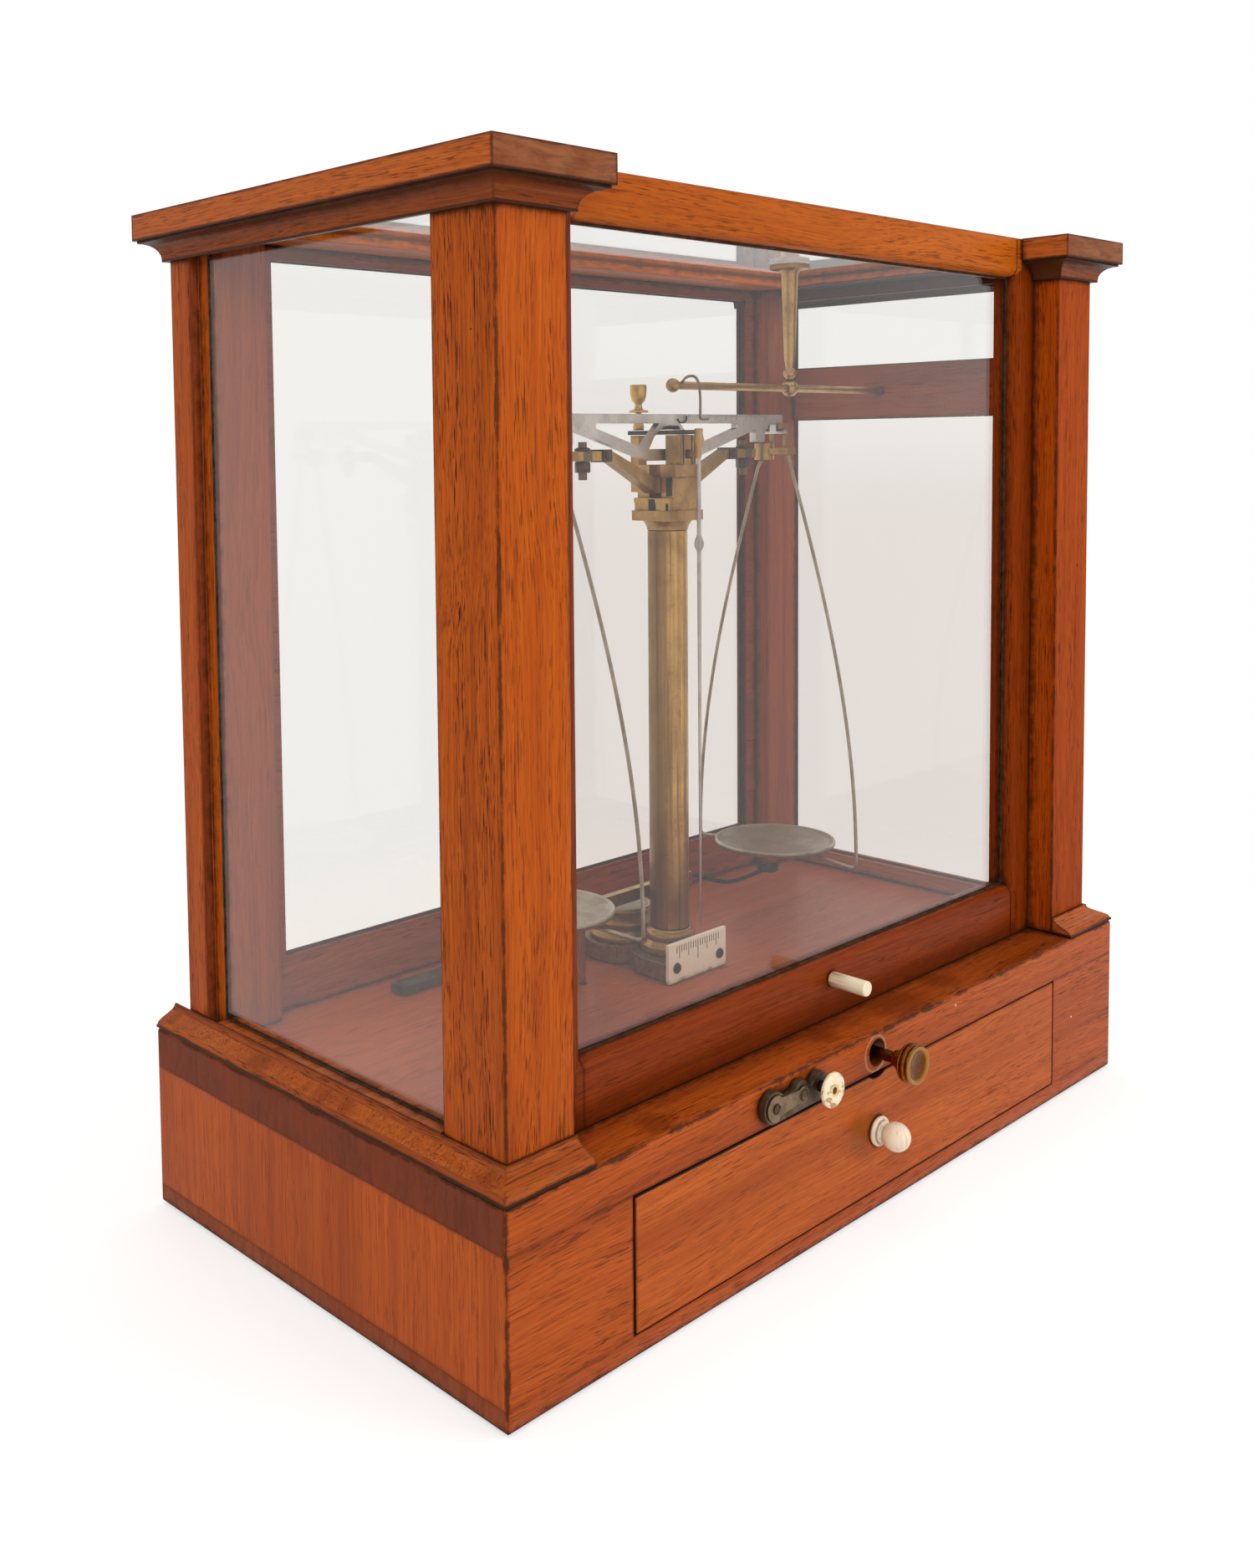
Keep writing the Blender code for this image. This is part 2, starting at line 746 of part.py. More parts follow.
def makeDrawer():
    carrier = pivotAt("drawer_slide", (0.0, -halfDepth, bottomBoard))
    half = drawerOpening / 2 - drawerReveal
    low = bottomBoard + drawerReveal
    high = boardLow - drawerReveal
    back = -halfDepth + drawerFrontThick
    front = block("drawer_front", (-half, -halfDepth, low), (half, back, high), wood, carrier)
    cut(front, round_("finger_notch", 'Y', (0.0, shaftHeight), notchRadius,
                      -halfDepth - seatGap, back + seatGap, steel))
    half = drawerOpening / 2 - drawerBoxInset
    boxFront = back + seatGap
    boxLow = bottomBoard + seatGap
    boxHigh = boxLow + drawerBoxHigh
    tray = block("drawer_box", (-half, boxFront, boxLow), (half, boxFront + drawerLength, boxHigh),
                 wood, carrier)
    cut(tray, block("drawer_hollow", (-half + drawerWall, boxFront + drawerWall, boxLow + drawerFloor),
                    (half - drawerWall, boxFront + drawerLength - drawerWall, boxHigh + seatGap),
                    steel))
    face = -halfDepth - seatGap
    neckZ = 0.5 * drawerKnobFlange
    profile = [(drawerKnobFlange * 0.92, face), (drawerKnobFlange, face - 0.2 * neckZ),
               (drawerKnobFlange, face - 0.75 * neckZ), (drawerKnobNeck * 1.1, face - 0.95 * neckZ),
               (drawerKnobNeck, face - 1.2 * neckZ)]
    ballAt = face - drawerKnobReach
    meet = math.degrees(math.asin(drawerKnobNeck / drawerKnobBall))
    for radius, drop in ball(drawerKnobBall, 180 - meet, 8, 10):
        profile.append((radius, ballAt - drop))
    turned("drawer_knob", 'Y', (0.0, drawerKnobHeight), profile, bone, carrier, 20)


def ball(radius, startDeg, endDeg, steps):
    """(radius, height) steps over a ball, from one polar angle to another."""
    turn = (endDeg - startDeg) / steps
    angles = [math.radians(startDeg + turn * i) for i in range(steps + 1)]
    return [(radius * math.sin(a), radius * math.cos(a)) for a in angles]


def makeColumn():
    lobe = (0.0, levelY)
    joinDeg = math.degrees(math.asin(plinthWaist / plinthLobe))
    notchY = levelY - math.sqrt(plinthLobe ** 2 - plinthWaist ** 2)
    right = [(plinthHalf, plinthFront), (plinthHalf, columnY),
             (plinthHalf - 0.25 * (plinthHalf - plinthWaist), columnY + 0.45 * (notchY - columnY)),
             (plinthWaist, notchY)]
    rear = arc(lobe, plinthLobe, -90 + joinDeg, 270 - joinDeg, 20)
    outline = right[:-1] + rear + mirrored(right[:-1], -1)[::-1]
    plinth = prism("column_base_plate", 'Z', outline, plinthLow, plinthTop, bronze)
    cut(plinth, round_("plinth_bore", 'Z', (0.0, columnY), columnBore, plinthLow - seatGap,
                       plinthTop + seatGap, steel))
    z = footLow
    step = levelHigh / 16
    r = levelRadius
    turned("level_cup", 'Z', lobe,
           [(r, z), (r, z + 2.4 * step), (0.92 * r, z + 4 * step), (0.77 * r, z + 5.5 * step),
            (0.72 * r, z + 7.5 * step), (0.77 * r, z + 9.5 * step), (0.88 * r, z + 11 * step),
            (0.88 * r, z + 15 * step), (0.82 * r, z + 16 * step), (0.70 * r, z + 16 * step),
            (0.70 * r, z + 15 * step)], brass, None, 28)
    ring = [(1.0, 0.0), (1.0, 0.27), (0.9, 0.4), (0.82, 0.5), (0.86, 0.58), (0.88, 0.72),
            (0.83, 0.86), (0.74, 0.92), (0.71, 1.0)]
    profile = [(share * footRadius, z + rise * footHigh) for share, rise in ring]
    profile += [(columnBore, z + footHigh), (columnBore, z)]
    turned("column_foot", 'Z', (0.0, columnY), profile, brass, None, 28, hollow=True)
    high = capitalLow - seatGap
    turned("column_tube", 'Z', (0.0, columnY),
           [(columnRadius, tubeLow), (columnRadius, high), (columnBore, high),
            (columnBore, tubeLow)], brass, None, 28, hollow=True)
    plateBack = plinthFront - seatGap
    block("index_plate", (-indexWidth / 2, plateBack - indexThick, plinthLow),
          (indexWidth / 2, plateBack, plinthLow + indexHigh), bone)


def makeHead():
    lap = seatGap
    flare = [(1.03, 0.0), (1.03, 0.15), (1.08, 0.45), (1.2, 0.8), (1.26, 1.0)]
    rise = slabLow + lap - capitalLow
    profile = [(share * columnRadius, capitalLow + part * rise) for share, part in flare]
    head = turned("column_head", 'Z', (0.0, columnY), profile, brass, None, 28)

    def squared(name, half, low, high):
        return block(name, (-half, columnY - half, low), (half, columnY + half, high), brass)

    weld(head, squared("head_slab", slabHalf, slabLow, upperSlabLow + lap))
    weld(head, squared("head_upper_slab", upperSlabHalf, upperSlabLow, neckLow + lap))
    weld(head, squared("head_neck", slotHalf + cheekThick, neckLow, neckTop + lap))
    front = columnY - slotHalf
    back = columnY + slotHalf
    weld(head, block("front_cheek", (-cheekHalf, front - cheekThick, neckTop),
                     (cheekHalf, front, collarLow + lap), brass))
    upperFront = front - upperCheekThick
    weld(head, block("front_upper_cheek", (-upperCheekHalf, upperFront, collarLow + lap),
                     (upperCheekHalf, front, bearingLow), brass))
    weld(head, block("rear_cheek", (-cheekHalf, back, neckTop),
                     (cheekHalf, back + cheekThick, collarTop), brass))
    weld(head, block("front_collar", (-collarHalf, upperFront - lap, collarLow),
                     (collarHalf, front - lap, collarTop), brass))
    weld(head, block("rear_bridge", (-rearPostHalf, back + cheekThick / 2, rearPostLow),
                     (rearPostHalf, rearPostY, rearPostLow + rearBridgeHigh), brass))
    weld(head, block("rear_post", (-rearPostHalf - lap, rearPostY - rearPostHalf, rearPostLow - lap),
                     (rearPostHalf + lap, rearPostY + rearPostHalf, bearingLow), brass))
    cut(head, round_("head_bore", 'Z', (0.0, columnY), rodRadius + boreGap, capitalLow - lap,
                     neckTop + 2 * lap, steel))
    window = pointerArm + 4 * boreGap
    cut(head, block("pointer_window", (-window, pointerY, pointerJointZ - window),
                    (window, front + lap, pointerJointZ + window), steel))
    block("bearing_plate", (-bearingHalf, bearingFront, bearingLow + seatGap),
          (bearingHalf, rearPostY + rearPostHalf, bearingTop), steel)
    foot = bearingTop + seatGap
    shape = [(0.63, 0.0), (0.68, 0.08), (0.55, 0.16), (0.34, 0.22), (0.34, 0.38), (1.15, 0.39),
             (1.15, 0.43), (0.55, 0.46), (0.4, 0.54), (0.45, 0.58), (0.8, 0.66), (0.95, 0.78),
             (1.0, 0.97), (0.94, 1.0)]
    profile = [(share * finialCup, foot + part * finialHigh) for share, part in shape]
    turned("finial", 'Z', (0.0, rearPostY), profile, brass, None, 18)


def makeArrest():
    turner = pivotAt("arrest_turn", (0.0, -halfDepth, shaftHeight))
    face = knobFace
    r = knobRadius
    shape = [(0.15, 0.09), (0.62, 0.08), (0.78, 0.0), (0.96, 0.01), (1.0, 0.1), (1.0, 0.24),
             (0.88, 0.32), (0.88, 0.4), (0.97, 0.46), (0.97, 0.58), (0.6, 0.66), (0.42, 0.86)]
    profile = [(share * r, face + part * knobDepth) for share, part in shape]
    camStart = columnY - camWide / 2
    camEnd = columnY + camWide / 2
    thin = seatGap / 10
    shaftTip = columnY + camWide + 0.9 * shaftMouthDeep
    profile += [(shaftRadius, face + knobDepth), (shaftRadius, camStart - thin),
                (camRadius, camStart, camThrow), (camRadius, camEnd, camThrow),
                (shaftRadius, camEnd + thin), (shaftRadius, shaftTip)]
    turned("arrest_knob", 'Y', (0.0, shaftHeight), profile, brass, turner, 24)

    lifter = pivotAt("arrest_lift", (0.0, columnY, armRootLow))
    low = beamY - armWide / 2
    high = beamY + armWide / 2
    half = [(armRootX, armRootLow), (armElbowX, armLow), (armEndX, armLow), (armEndX, armTop),
            (armElbowX, armTop), (armRootX, armRootTop)]
    outline = half + mirrored(half, -1)[::-1]
    arms = prism("arrest_arms", 'Y', outline, low, high, brass, lifter)
    for label, side in (("left", -1), ("right", 1)):
        weld(arms, round_("arrest_pin_" + label, 'Z', (side * pinX, beamY), pinRadius, pinLow,
                          pinTop, steel, lifter, 16))
    weld(arms, round_("arrest_rod", 'Z', (0.0, columnY), rodRadius, rodLow, armRootLow + seatGap,
                      steel, lifter, 16))


def makePanArrest():
    pusher = pivotAt("button_push", (buttonX, buttonFace, buttonHeight))
    back = buttonFace + buttonThick
    button = turned("pan_button", 'Y', (buttonX, buttonHeight),
                    [(0.9 * buttonRadius, buttonFace), (buttonRadius, buttonFace + 0.25 * buttonThick),
                     (buttonRadius, back - 0.2 * buttonThick), (0.93 * buttonRadius, back)],
                    bone, pusher, 32)
    cut(button, round_("button_hole", 'Y', (buttonX, buttonHeight), buttonHole,
                       buttonFace - seatGap, buttonFace + buttonThick / 2, steel, pusher, 12))
    stem = round_("pan_button_stem", 'Y', (buttonX, buttonHeight), stemRadius, back + seatGap,
                  wedgeY + wedgeHalf, steel, pusher, 16)
    rise = wedgeHalf * wedgeSlope
    clear = 3 * stemRadius
    wedgeFront = wedgeY - wedgeHalf
    wedgeBack = wedgeY + 2 * wedgeHalf
    ramp = [(wedgeFront, buttonHeight + rise), (wedgeBack, buttonHeight - 2 * rise),
            (wedgeBack, buttonHeight + clear), (wedgeFront, buttonHeight + clear)]
    cut(stem, prism("stem_ramp", 'X', ramp, buttonX - clear, buttonX + clear, steel, pusher))

    face = -halfDepth - seatGap
    end = (plateEndX, buttonHeight)
    boss = (plateBossX, buttonHeight + 0.3 * plateBossRadius)
    stemSpot = (buttonX, buttonHeight)
    waist = 0.4 * plateEndRadius
    dip = buttonHeight + waist
    outline = arc(end, plateEndRadius, 270, 55, 12)
    outline += [(plateEndX + 1.2 * plateEndRadius, dip)]
    outline += arc(boss, plateBossRadius, 150, 35, 7)
    outline += [((plateBossX + buttonX) / 2, dip - 0.3 * waist)]
    outline += arc(stemSpot, plateStemRadius, 140, -90, 12)
    plate = prism("button_plate", 'Y', outline, face - plateThick, face, bronze)
    cut(plate, round_("plate_bore", 'Y', stemSpot, stemRadius + boreGap, face - 2 * plateThick,
                      face + plateThick, steel))

    lifter = pivotAt("pan_arrest_lift", (buttonX, wedgeY, arrestBarLow))
    low = arrestBarLow
    bar = block("pan_arrest_bar", (arrestBarLeft, wedgeY - arrestBarHalf, low),
                (arrestBarRight, wedgeY + arrestBarHalf, arrestBarHigh), brass, lifter)
    rod = round_("lift_rod", 'Z', (buttonX, wedgeY), stemRadius, buttonHeight - 2 * stemRadius,
                 low + seatGap, steel, lifter, 16)
    toe = [(wedgeY - clear, buttonHeight + wedgeGap + clear * wedgeSlope),
           (wedgeY + clear, buttonHeight + wedgeGap - clear * wedgeSlope),
           (wedgeY + clear, buttonHeight - 3 * clear), (wedgeY - clear, buttonHeight - 3 * clear)]
    cut(rod, prism("rod_ramp", 'X', toe, buttonX - clear, buttonX + clear, steel, lifter))
    weld(bar, rod)
    for label, start, side in (("left", arrestBarLeft, -1), ("right", arrestBarRight, 1)):
        first = start + side * (arrestWire / 2 + seatGap)
        pad = side * padX
        span = pad - first
        bend = [(first, wedgeY, low + 2.5 * arrestWire),
                (first + 0.1 * span, wedgeY, low + 2 * arrestWire),
                (first + 0.45 * span, (wedgeY + beamY) / 2, low - 2.4 * arrestWire),
                (first + 0.8 * span, beamY + 0.1 * (wedgeY - beamY), low - 0.3 * arrestWire),
                (pad, beamY, padLow + 0.5 * (padTop - padLow))]
        arm = wire("pan_arrest_arm_" + label, smoothPath(bend, 5), arrestWire, steel, lifter, 6)
        weld(arm, round_("pad_" + label, 'Z', (pad, beamY), padRadius, padLow, padTop, steel,
                         lifter, 20))


def chordAt(x):
    slope = (chordEndZ - chordStartZ) / (blockStartX - chordStartX)
    return chordStartZ + slope * (x - chordStartX)


def makeBeam():
    tilter = pivotAt("beam_tilt", (0.0, beamY, pivotZ))
    low = beamY - beamThick / 2
    high = beamY + beamThick / 2
    barLow = beamTop - beamBar
    scoop = [(blockEndX + 0.1 * (tipStartX - blockEndX), blockLow + 0.4 * (barLow - blockLow)),
             (blockEndX + 0.4 * (tipStartX - blockEndX), blockLow + 0.75 * (barLow - blockLow))]
    half = [(hubHalf, hubLow), (chordStartX, chordStartZ), (blockStartX, chordEndZ),
            (blockStartX, blockLow), (blockEndX, blockLow), *scoop, (tipStartX, barLow),
            (beamHalf, barLow), (beamHalf, beamTop)]
    outline = half + mirrored(half, -1)[::-1]
    beam = prism("beam", 'Y', outline, low, high, silver, tilter)
    before = low - seatGap
    after = high + seatGap
    hubTop = hubLow + hubHigh
    apexX = archFootX + 0.85 * chordThick
    for label, side in (("left", -1), ("right", 1)):
        window = [(windowInnerX, barLow), (windowOuterX, barLow),
                  (windowOuterX, chordAt(windowOuterX) + chordThick),
                  (apexX, chordAt(apexX) + chordThick)]
        cut(beam, prism("beam_window_" + label, 'Y', mirrored(window, side), before, after, steel,
                        tilter))
    archHigh = archCrownZ - hubTop
    archMid = archFootX - 0.45 * (archFootX - archCrownX)
    arch = [(archFootX, hubTop), (archMid, hubTop + 0.55 * archHigh),
            (archCrownX, archCrownZ - 0.12 * archHigh), (0.5 * archCrownX, archCrownZ)]
    cut(beam, prism("beam_arch", 'Y', arch + mirrored(arch, -1)[::-1], before, after, steel, tilter))
    knife = [(-knifeHalf, archCrownZ + seatGap), (0.0, pivotZ), (knifeHalf, archCrownZ + seatGap)]
    weld(beam, prism("centre_knife", 'Y', knife, knifeFront, knifeBack, steel, tilter))
    for label, side in (("left", -1), ("right", 1)):
        x = side * hangX
        sole = pivotZ - endKnifeHigh
        edge = [(x - endKnifeHalf, sole), (x + endKnifeHalf, sole),
                (x + endKnifeHalf, sole + endKnifeHigh / 2), (x, pivotZ),
                (x - endKnifeHalf, sole + endKnifeHigh / 2)]
        weld(beam, prism("end_knife_" + label, 'Y', edge, low - endKnifeReach, high + endKnifeReach,
                         steel, tilter))
        weld(beam, block("knife_neck_" + label, (x - endKnifeHalf, low, sole + seatGap),
                         (x + endKnifeHalf, high, barLow + seatGap), steel, tilter))

    r = pointerRadius
    b = pointerBoss
    joint = pointerJointZ
    profile = [(0.25 * r, pointerTip), (0.55 * r, pointerTip + 12 * r), (r, poiseHeight - poiseHalf)]
    for share, part in ((0.55, 0.75), (0.9, 0.4), (1.0, 0.0), (0.8, -0.45), (0.5, -0.85)):
        profile.append((share * poiseRadius, poiseHeight - part * poiseHalf))
    profile += [(r, poiseHeight + poiseHalf), (r, joint - b), (0.5 * b, joint - 0.5 * b)]
    for share, part in ((0.5, 0.22), (0.8, 0.4), (1.0, 0.56), (0.7, 0.8), (0.8, 0.97), (0.5, 1.0)):
        profile.append((share * b, joint + part * (pointerTop - joint)))
    pointer = turned("pointer", 'Z', (0.0, pointerY), profile, silver, tilter, 12)
    weld(pointer, round_("pointer_arm", 'Y', (0.0, joint), pointerArm, pointerY,
                         low - seatGap, silver, tilter, 16))

    for label, side in (("left", -1), ("right", 1)):
        makeHanger(label, side)


def makeHanger(label, side):
    x = side * hangX
    swing = pivotAt(label + "_hang", (x, beamY, pivotZ))
    low = stirrupLow
    post = x + side * (endKnifeHalf + 5 * boreGap)
    postEnd = post + side * hookPost
    xs = sorted((x - side * stirrupHalf, postEnd))
    stirrup = block(label + "_stirrup", (xs[0], beamY + stirrupFront, low),
                    (xs[1], beamY + stirrupBack, stirrupHigh), brass, swing)
    seat = pivotZ + knifeGap
    hook = [(post, stirrupHigh - seatGap), (postEnd, stirrupHigh - seatGap), (postEnd, seat + hookTop),
            (x - side * endKnifeHalf, seat + hookTop), (x - side * endKnifeHalf, seat), (post, seat)]
    for end, way in (("front", -1), ("rear", 1)):
        middle = beamY + way * hookOffset
        weld(stirrup, prism(label + "_hook_" + end, 'Y', hook, middle - hookThick / 2,
                            middle + hookThick / 2, brass, swing))
    weld(stirrup, round_(label + "_drum", 'Z', (x, drumY), drumRadius, drumLow, drumTop, brass,
                         swing, 20))

    wireTop = low - seatGap
    bottom = bowLow
    fall = wireTop - bottom
    legs = []
    steps = 14
    for i in range(steps + 1):
        t = i / steps
        out = bowTop + (bowSpread - bowTop) * math.sin(t * math.pi / 2)
        legs.append((out, wireTop - t * fall))
    turnLow = bottom - 2.2 * bowWire
    under = panLow - seatGap - bowWire
    foot = [(bowSpread - 0.8 * bowWire, turnLow + bowWire), (bowSpread - 3 * bowWire, turnLow),
            (panRadius, under - 0.3 * bowWire), (0.6 * panRadius, under)]
    half = legs + foot
    twist = math.radians(leftBowTwist if side < 0 else rightBowTwist)
    across = math.sin(twist)
    along = math.cos(twist)
    path = [(x + out * across, beamY - out * along, z) for out, z in half]
    path += [(x - out * across, beamY + out * along, z) for out, z in half[::-1]]
    path[-1] = (path[-1][0], path[-1][1], drumLow - seatGap)
    wire(label + "_bow", path, bowWire, nickel, swing, 6)
    profile = [(0.9 * panRadius, panLow), (0.97 * panRadius, panLow + 0.15 * (panHigh - panLow)),
               (panRadius, panLow + 0.5 * (panHigh - panLow)), (panRadius, panHigh),
               (panRadius - panRim, panHigh), (panRadius - 2.5 * panRim, panHigh - panDish)]
    turned(label + "_pan", 'Z', (x, beamY), profile, nickel, swing, 36)


def makeRider():
    top = topPaneLow - seatGap
    foot = riderHeight + bushRadius + seatGap
    flange = top - hangerFlangeHigh
    r = hangerFootRadius
    profile = [(0.8 * r, foot), (0.9 * r, foot + 0.3 * r), (1.3 * r, foot + 0.8 * r),
               (1.3 * r, foot + 1.6 * r), (0.8 * r, foot + 2.2 * r), (r, foot + 3.6 * r),
               (1.1 * r, foot + 4 * r), (hangerTopRadius, flange - hangerFlangeHigh),
               (0.55 * hangerFlange, flange - 0.3 * hangerFlangeHigh), (hangerFlange, flange),
               (hangerFlange, top)]
    turned("rider_hanger", 'Z', (riderX, riderY), profile, brass, None, 18)
    turner = pivotAt("rider_turn", (riderX, riderY, riderHeight))
    bore = riderRod + boreGap
    meet = math.degrees(math.asin(1.15 * bore / bushRadius))
    profile = [(radius, riderX - drop) for radius, drop in ball(bushRadius, meet, 180 - meet, 10)]
    ends = [(bore, profile[-1][1]), (bore, profile[0][1])]
    turned("rider_bush", 'X', (riderY, riderHeight), profile + ends, brass, turner, 16, hollow=True)

    slider = pivotAt("rider_slide", (riderX, riderY, riderHeight))
    slider.parent = turner
    slider.matrix_parent_inverse = Matrix.Translation(-turner.location)
    meet = math.degrees(math.asin(riderRod / riderBall))
    profile = [(radius, riderStart - rise) for radius, rise in ball(riderBall, 10, 180 - meet, 8)]
    knob = postOuter + seatGap
    k = riderKnobRadius
    profile += [(riderRod, knob), (0.6 * k, knob), (k, knob + 0.25 * riderKnobLong),
                (k, knob + 0.75 * riderKnobLong), (0.85 * k, knob + riderKnobLong)]
    rod = turned("rider_rod", 'X', (riderY, riderHeight), profile, brass, slider, 16)
    x = riderHookX
    over = riderHeight + 1.1 * riderBall
    drop = over - riderFootZ
    drift = riderFootX - x
    reach = riderFootY - riderY
    bend = [(x, riderY, riderHeight + 0.8 * riderRod)]
    for share, fall in ((0.25, 0.0), (0.65, 0.0), (0.9, 0.15), (1.0, 0.5)):
        bend.append((x + share * drift, riderY + share * reach, over - fall * drop))
    bend += [(riderFootX, riderFootY, riderFootZ + 2.5 * riderWire),
             (riderFootX + 1.5 * riderWire, riderFootY, riderFootZ),
             (riderFootX + riderFootLong, riderFootY, riderFootZ)]
    weld(rod, wire("rider_hook", smoothPath(bend, 4), riderWire, steel, slider, 6))


clearScene()
makeBase()
makePosts()
makeCornice()
makePanes()
makeSash()
makeDrawer()
makeColumn()
makeHead()
makeArrest()
makePanArrest()
makeBeam()
makeRider()
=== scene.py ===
import json
import math

import bmesh
import bpy
import numpy as np
from mathutils import Matrix, Vector


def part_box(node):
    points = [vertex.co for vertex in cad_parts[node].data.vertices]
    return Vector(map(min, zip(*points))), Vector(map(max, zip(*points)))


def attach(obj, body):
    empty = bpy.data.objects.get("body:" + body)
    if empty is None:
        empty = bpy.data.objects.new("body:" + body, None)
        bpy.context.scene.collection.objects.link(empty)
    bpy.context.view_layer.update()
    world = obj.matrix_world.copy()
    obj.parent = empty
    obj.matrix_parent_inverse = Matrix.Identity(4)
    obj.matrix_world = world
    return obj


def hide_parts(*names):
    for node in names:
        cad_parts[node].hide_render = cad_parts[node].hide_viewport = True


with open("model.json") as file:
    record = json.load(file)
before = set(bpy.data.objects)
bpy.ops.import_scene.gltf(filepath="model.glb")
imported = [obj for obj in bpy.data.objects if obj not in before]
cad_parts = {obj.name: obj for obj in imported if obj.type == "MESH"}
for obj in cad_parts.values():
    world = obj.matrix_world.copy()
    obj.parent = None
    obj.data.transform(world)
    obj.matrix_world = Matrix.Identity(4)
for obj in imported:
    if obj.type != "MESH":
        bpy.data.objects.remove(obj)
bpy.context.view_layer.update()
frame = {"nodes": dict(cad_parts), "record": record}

nodes = frame["nodes"]
record = frame["record"]
bodyOf = {node: body for body, members in record["behaviour"]["bodies"].items() for node in members}
slotOf = {row["node"]: row["material_slot"] for row in record["subparts"]}


# shader helpers

def join(tree, value, socket):
    if isinstance(value, bpy.types.NodeSocket):
        tree.links.new(value, socket)
    else:
        socket.default_value = value


def feed(tree, node, values):
    for key, value in values.items():
        join(tree, value, node.inputs[key])


def put(tree, kind, values=None, **settings):
    node = tree.nodes.new("ShaderNode" + kind)
    for key, value in settings.items():
        setattr(node, key, value)
    feed(tree, node, values or {})
    return node


def calc(tree, operation, a, b=0.0):
    return put(tree, "Math", {0: a, 1: b}, operation=operation).outputs[0]


def times(tree, a, b):
    return calc(tree, "MULTIPLY", a, b)


def ramp(tree, value, low, high, bottom=0.0, top=1.0):
    links = {"Value": value, "From Min": low, "From Max": high, "To Min": bottom, "To Max": top}
    return put(tree, "MapRange", links, interpolation_type="SMOOTHSTEP").outputs["Result"]


def mixed(tree, share, a, b):
    return put(tree, "Mix", {0: share, 6: a, 7: b}, data_type="RGBA").outputs[2]


def noise(tree, vector, scale, detail=2.0, rough=0.5, distortion=0.0):
    links = {"Vector": vector, "Scale": scale, "Detail": detail, "Roughness": rough,
             "Distortion": distortion}
    return put(tree, "TexNoise", links).outputs[0]


def stretched(tree, vector, scale):
    return put(tree, "Mapping", {"Vector": vector, "Scale": scale}).outputs[0]


def newGroup(name, inputs, outputs):
    tree = bpy.data.node_groups.new(name, "ShaderNodeTree")
    for label, kind, value in inputs:
        socket = tree.interface.new_socket(label, in_out="INPUT", socket_type="NodeSocket" + kind)
        if value is not None:
            socket.default_value = value
    for label, kind in outputs:
        tree.interface.new_socket(label, in_out="OUTPUT", socket_type="NodeSocket" + kind)
    return tree, tree.nodes.new("NodeGroupInput").outputs, tree.nodes.new("NodeGroupOutput").inputs


def rgb(colour):
    return (*colour, 1.0)


# board grain: wide bands, ribbons, fine streaks and short dark pores, all drawn out along the board's Z;
# cut ends show blotches and short lines instead
grainLook = dict(sway=(9.0, 9.0, 5.0), swayX=0.02, swayY=0.012, broad=(34.0, 34.0, 1.7),
                 ribbon=(130.0, 130.0, 2.8), streak=(950.0, 950.0, 11.0), pore=(1700.0, 1700.0, 95.0),
                 poreBand=(150.0, 150.0, 9.0), fineLine=(1500.0, 1500.0, 22.0), cutLine=(70.0, 330.0, 70.0),
                 cutBlotch=38.0, poreGloss=0.18)
grainTree, given, result = newGroup(
    "board grain",
    [("Vector", "Vector", None), ("Pale", "Color", None), ("Warm", "Color", None),
     ("Deep", "Color", None), ("Pore", "Color", None), ("End", "Color", None),
     ("End Mask", "Float", 0.0), ("Figure", "Float", 0.6), ("Pores", "Float", 0.7)],
    [("Colour", "Color"), ("Gloss", "Float"), ("Relief", "Float")])


def grainNoise(key, vector, detail, rough=0.5, distortion=0.0):
    return noise(grainTree, stretched(grainTree, vector, grainLook[key]), 1.0, detail, rough, distortion)


sway = grainNoise("sway", given["Vector"], 2.0)
push = put(grainTree, "CombineXYZ", {0: times(grainTree, sway, grainLook["swayX"]),
                                     1: times(grainTree, sway, grainLook["swayY"])}).outputs[0]
bent = put(grainTree, "VectorMath", {0: given["Vector"], 1: push}, operation="ADD").outputs[0]
broad = grainNoise("broad", bent, 3.0, 0.55, 0.3)
ribbon = grainNoise("ribbon", bent, 3.0, 0.55)
streak = grainNoise("streak", bent, 3.0, 0.65)
poreSpots = grainNoise("pore", bent, 2.0)
poreBands = grainNoise("poreBand", bent, 3.0, 0.55)
fineLines = grainNoise("fineLine", bent, 2.0, 0.6)
cutLines = grainNoise("cutLine", given["Vector"], 4.0, 0.65, 0.5)
cutBlotch = noise(grainTree, given["Vector"], grainLook["cutBlotch"], 4.0, 0.6)
pores = times(grainTree, ramp(grainTree, poreSpots, 0.54, 0.64),
              ramp(grainTree, poreBands, 0.36, 0.66, 0.35, 1.0))
fineMask = times(grainTree, ramp(grainTree, fineLines, 0.54, 0.68),
                 ramp(grainTree, poreBands, 0.40, 0.70, 0.25, 0.6))
shade = mixed(grainTree, ramp(grainTree, streak, 0.33, 0.67), given["Pale"], given["Warm"])
for share, colour in ((times(grainTree, ramp(grainTree, broad, 0.44, 0.74), given["Figure"]), "Deep"),
                      (ramp(grainTree, ribbon, 0.48, 0.74, 0.0, 0.40), "Deep"),
                      (times(grainTree, fineMask, given["Pores"]), "Pore"),
                      (times(grainTree, pores, given["Pores"]), "Pore")):
    shade = mixed(grainTree, share, shade, given[colour])
cutShade = mixed(grainTree, ramp(grainTree, cutLines, 0.36, 0.70, 0.0, 0.6), given["End"], given["Pore"])
cutShade = mixed(grainTree, ramp(grainTree, cutBlotch, 0.40, 0.72, 0.0, 0.55), cutShade, given["Deep"])
shade = mixed(grainTree, given["End Mask"], shade, cutShade)
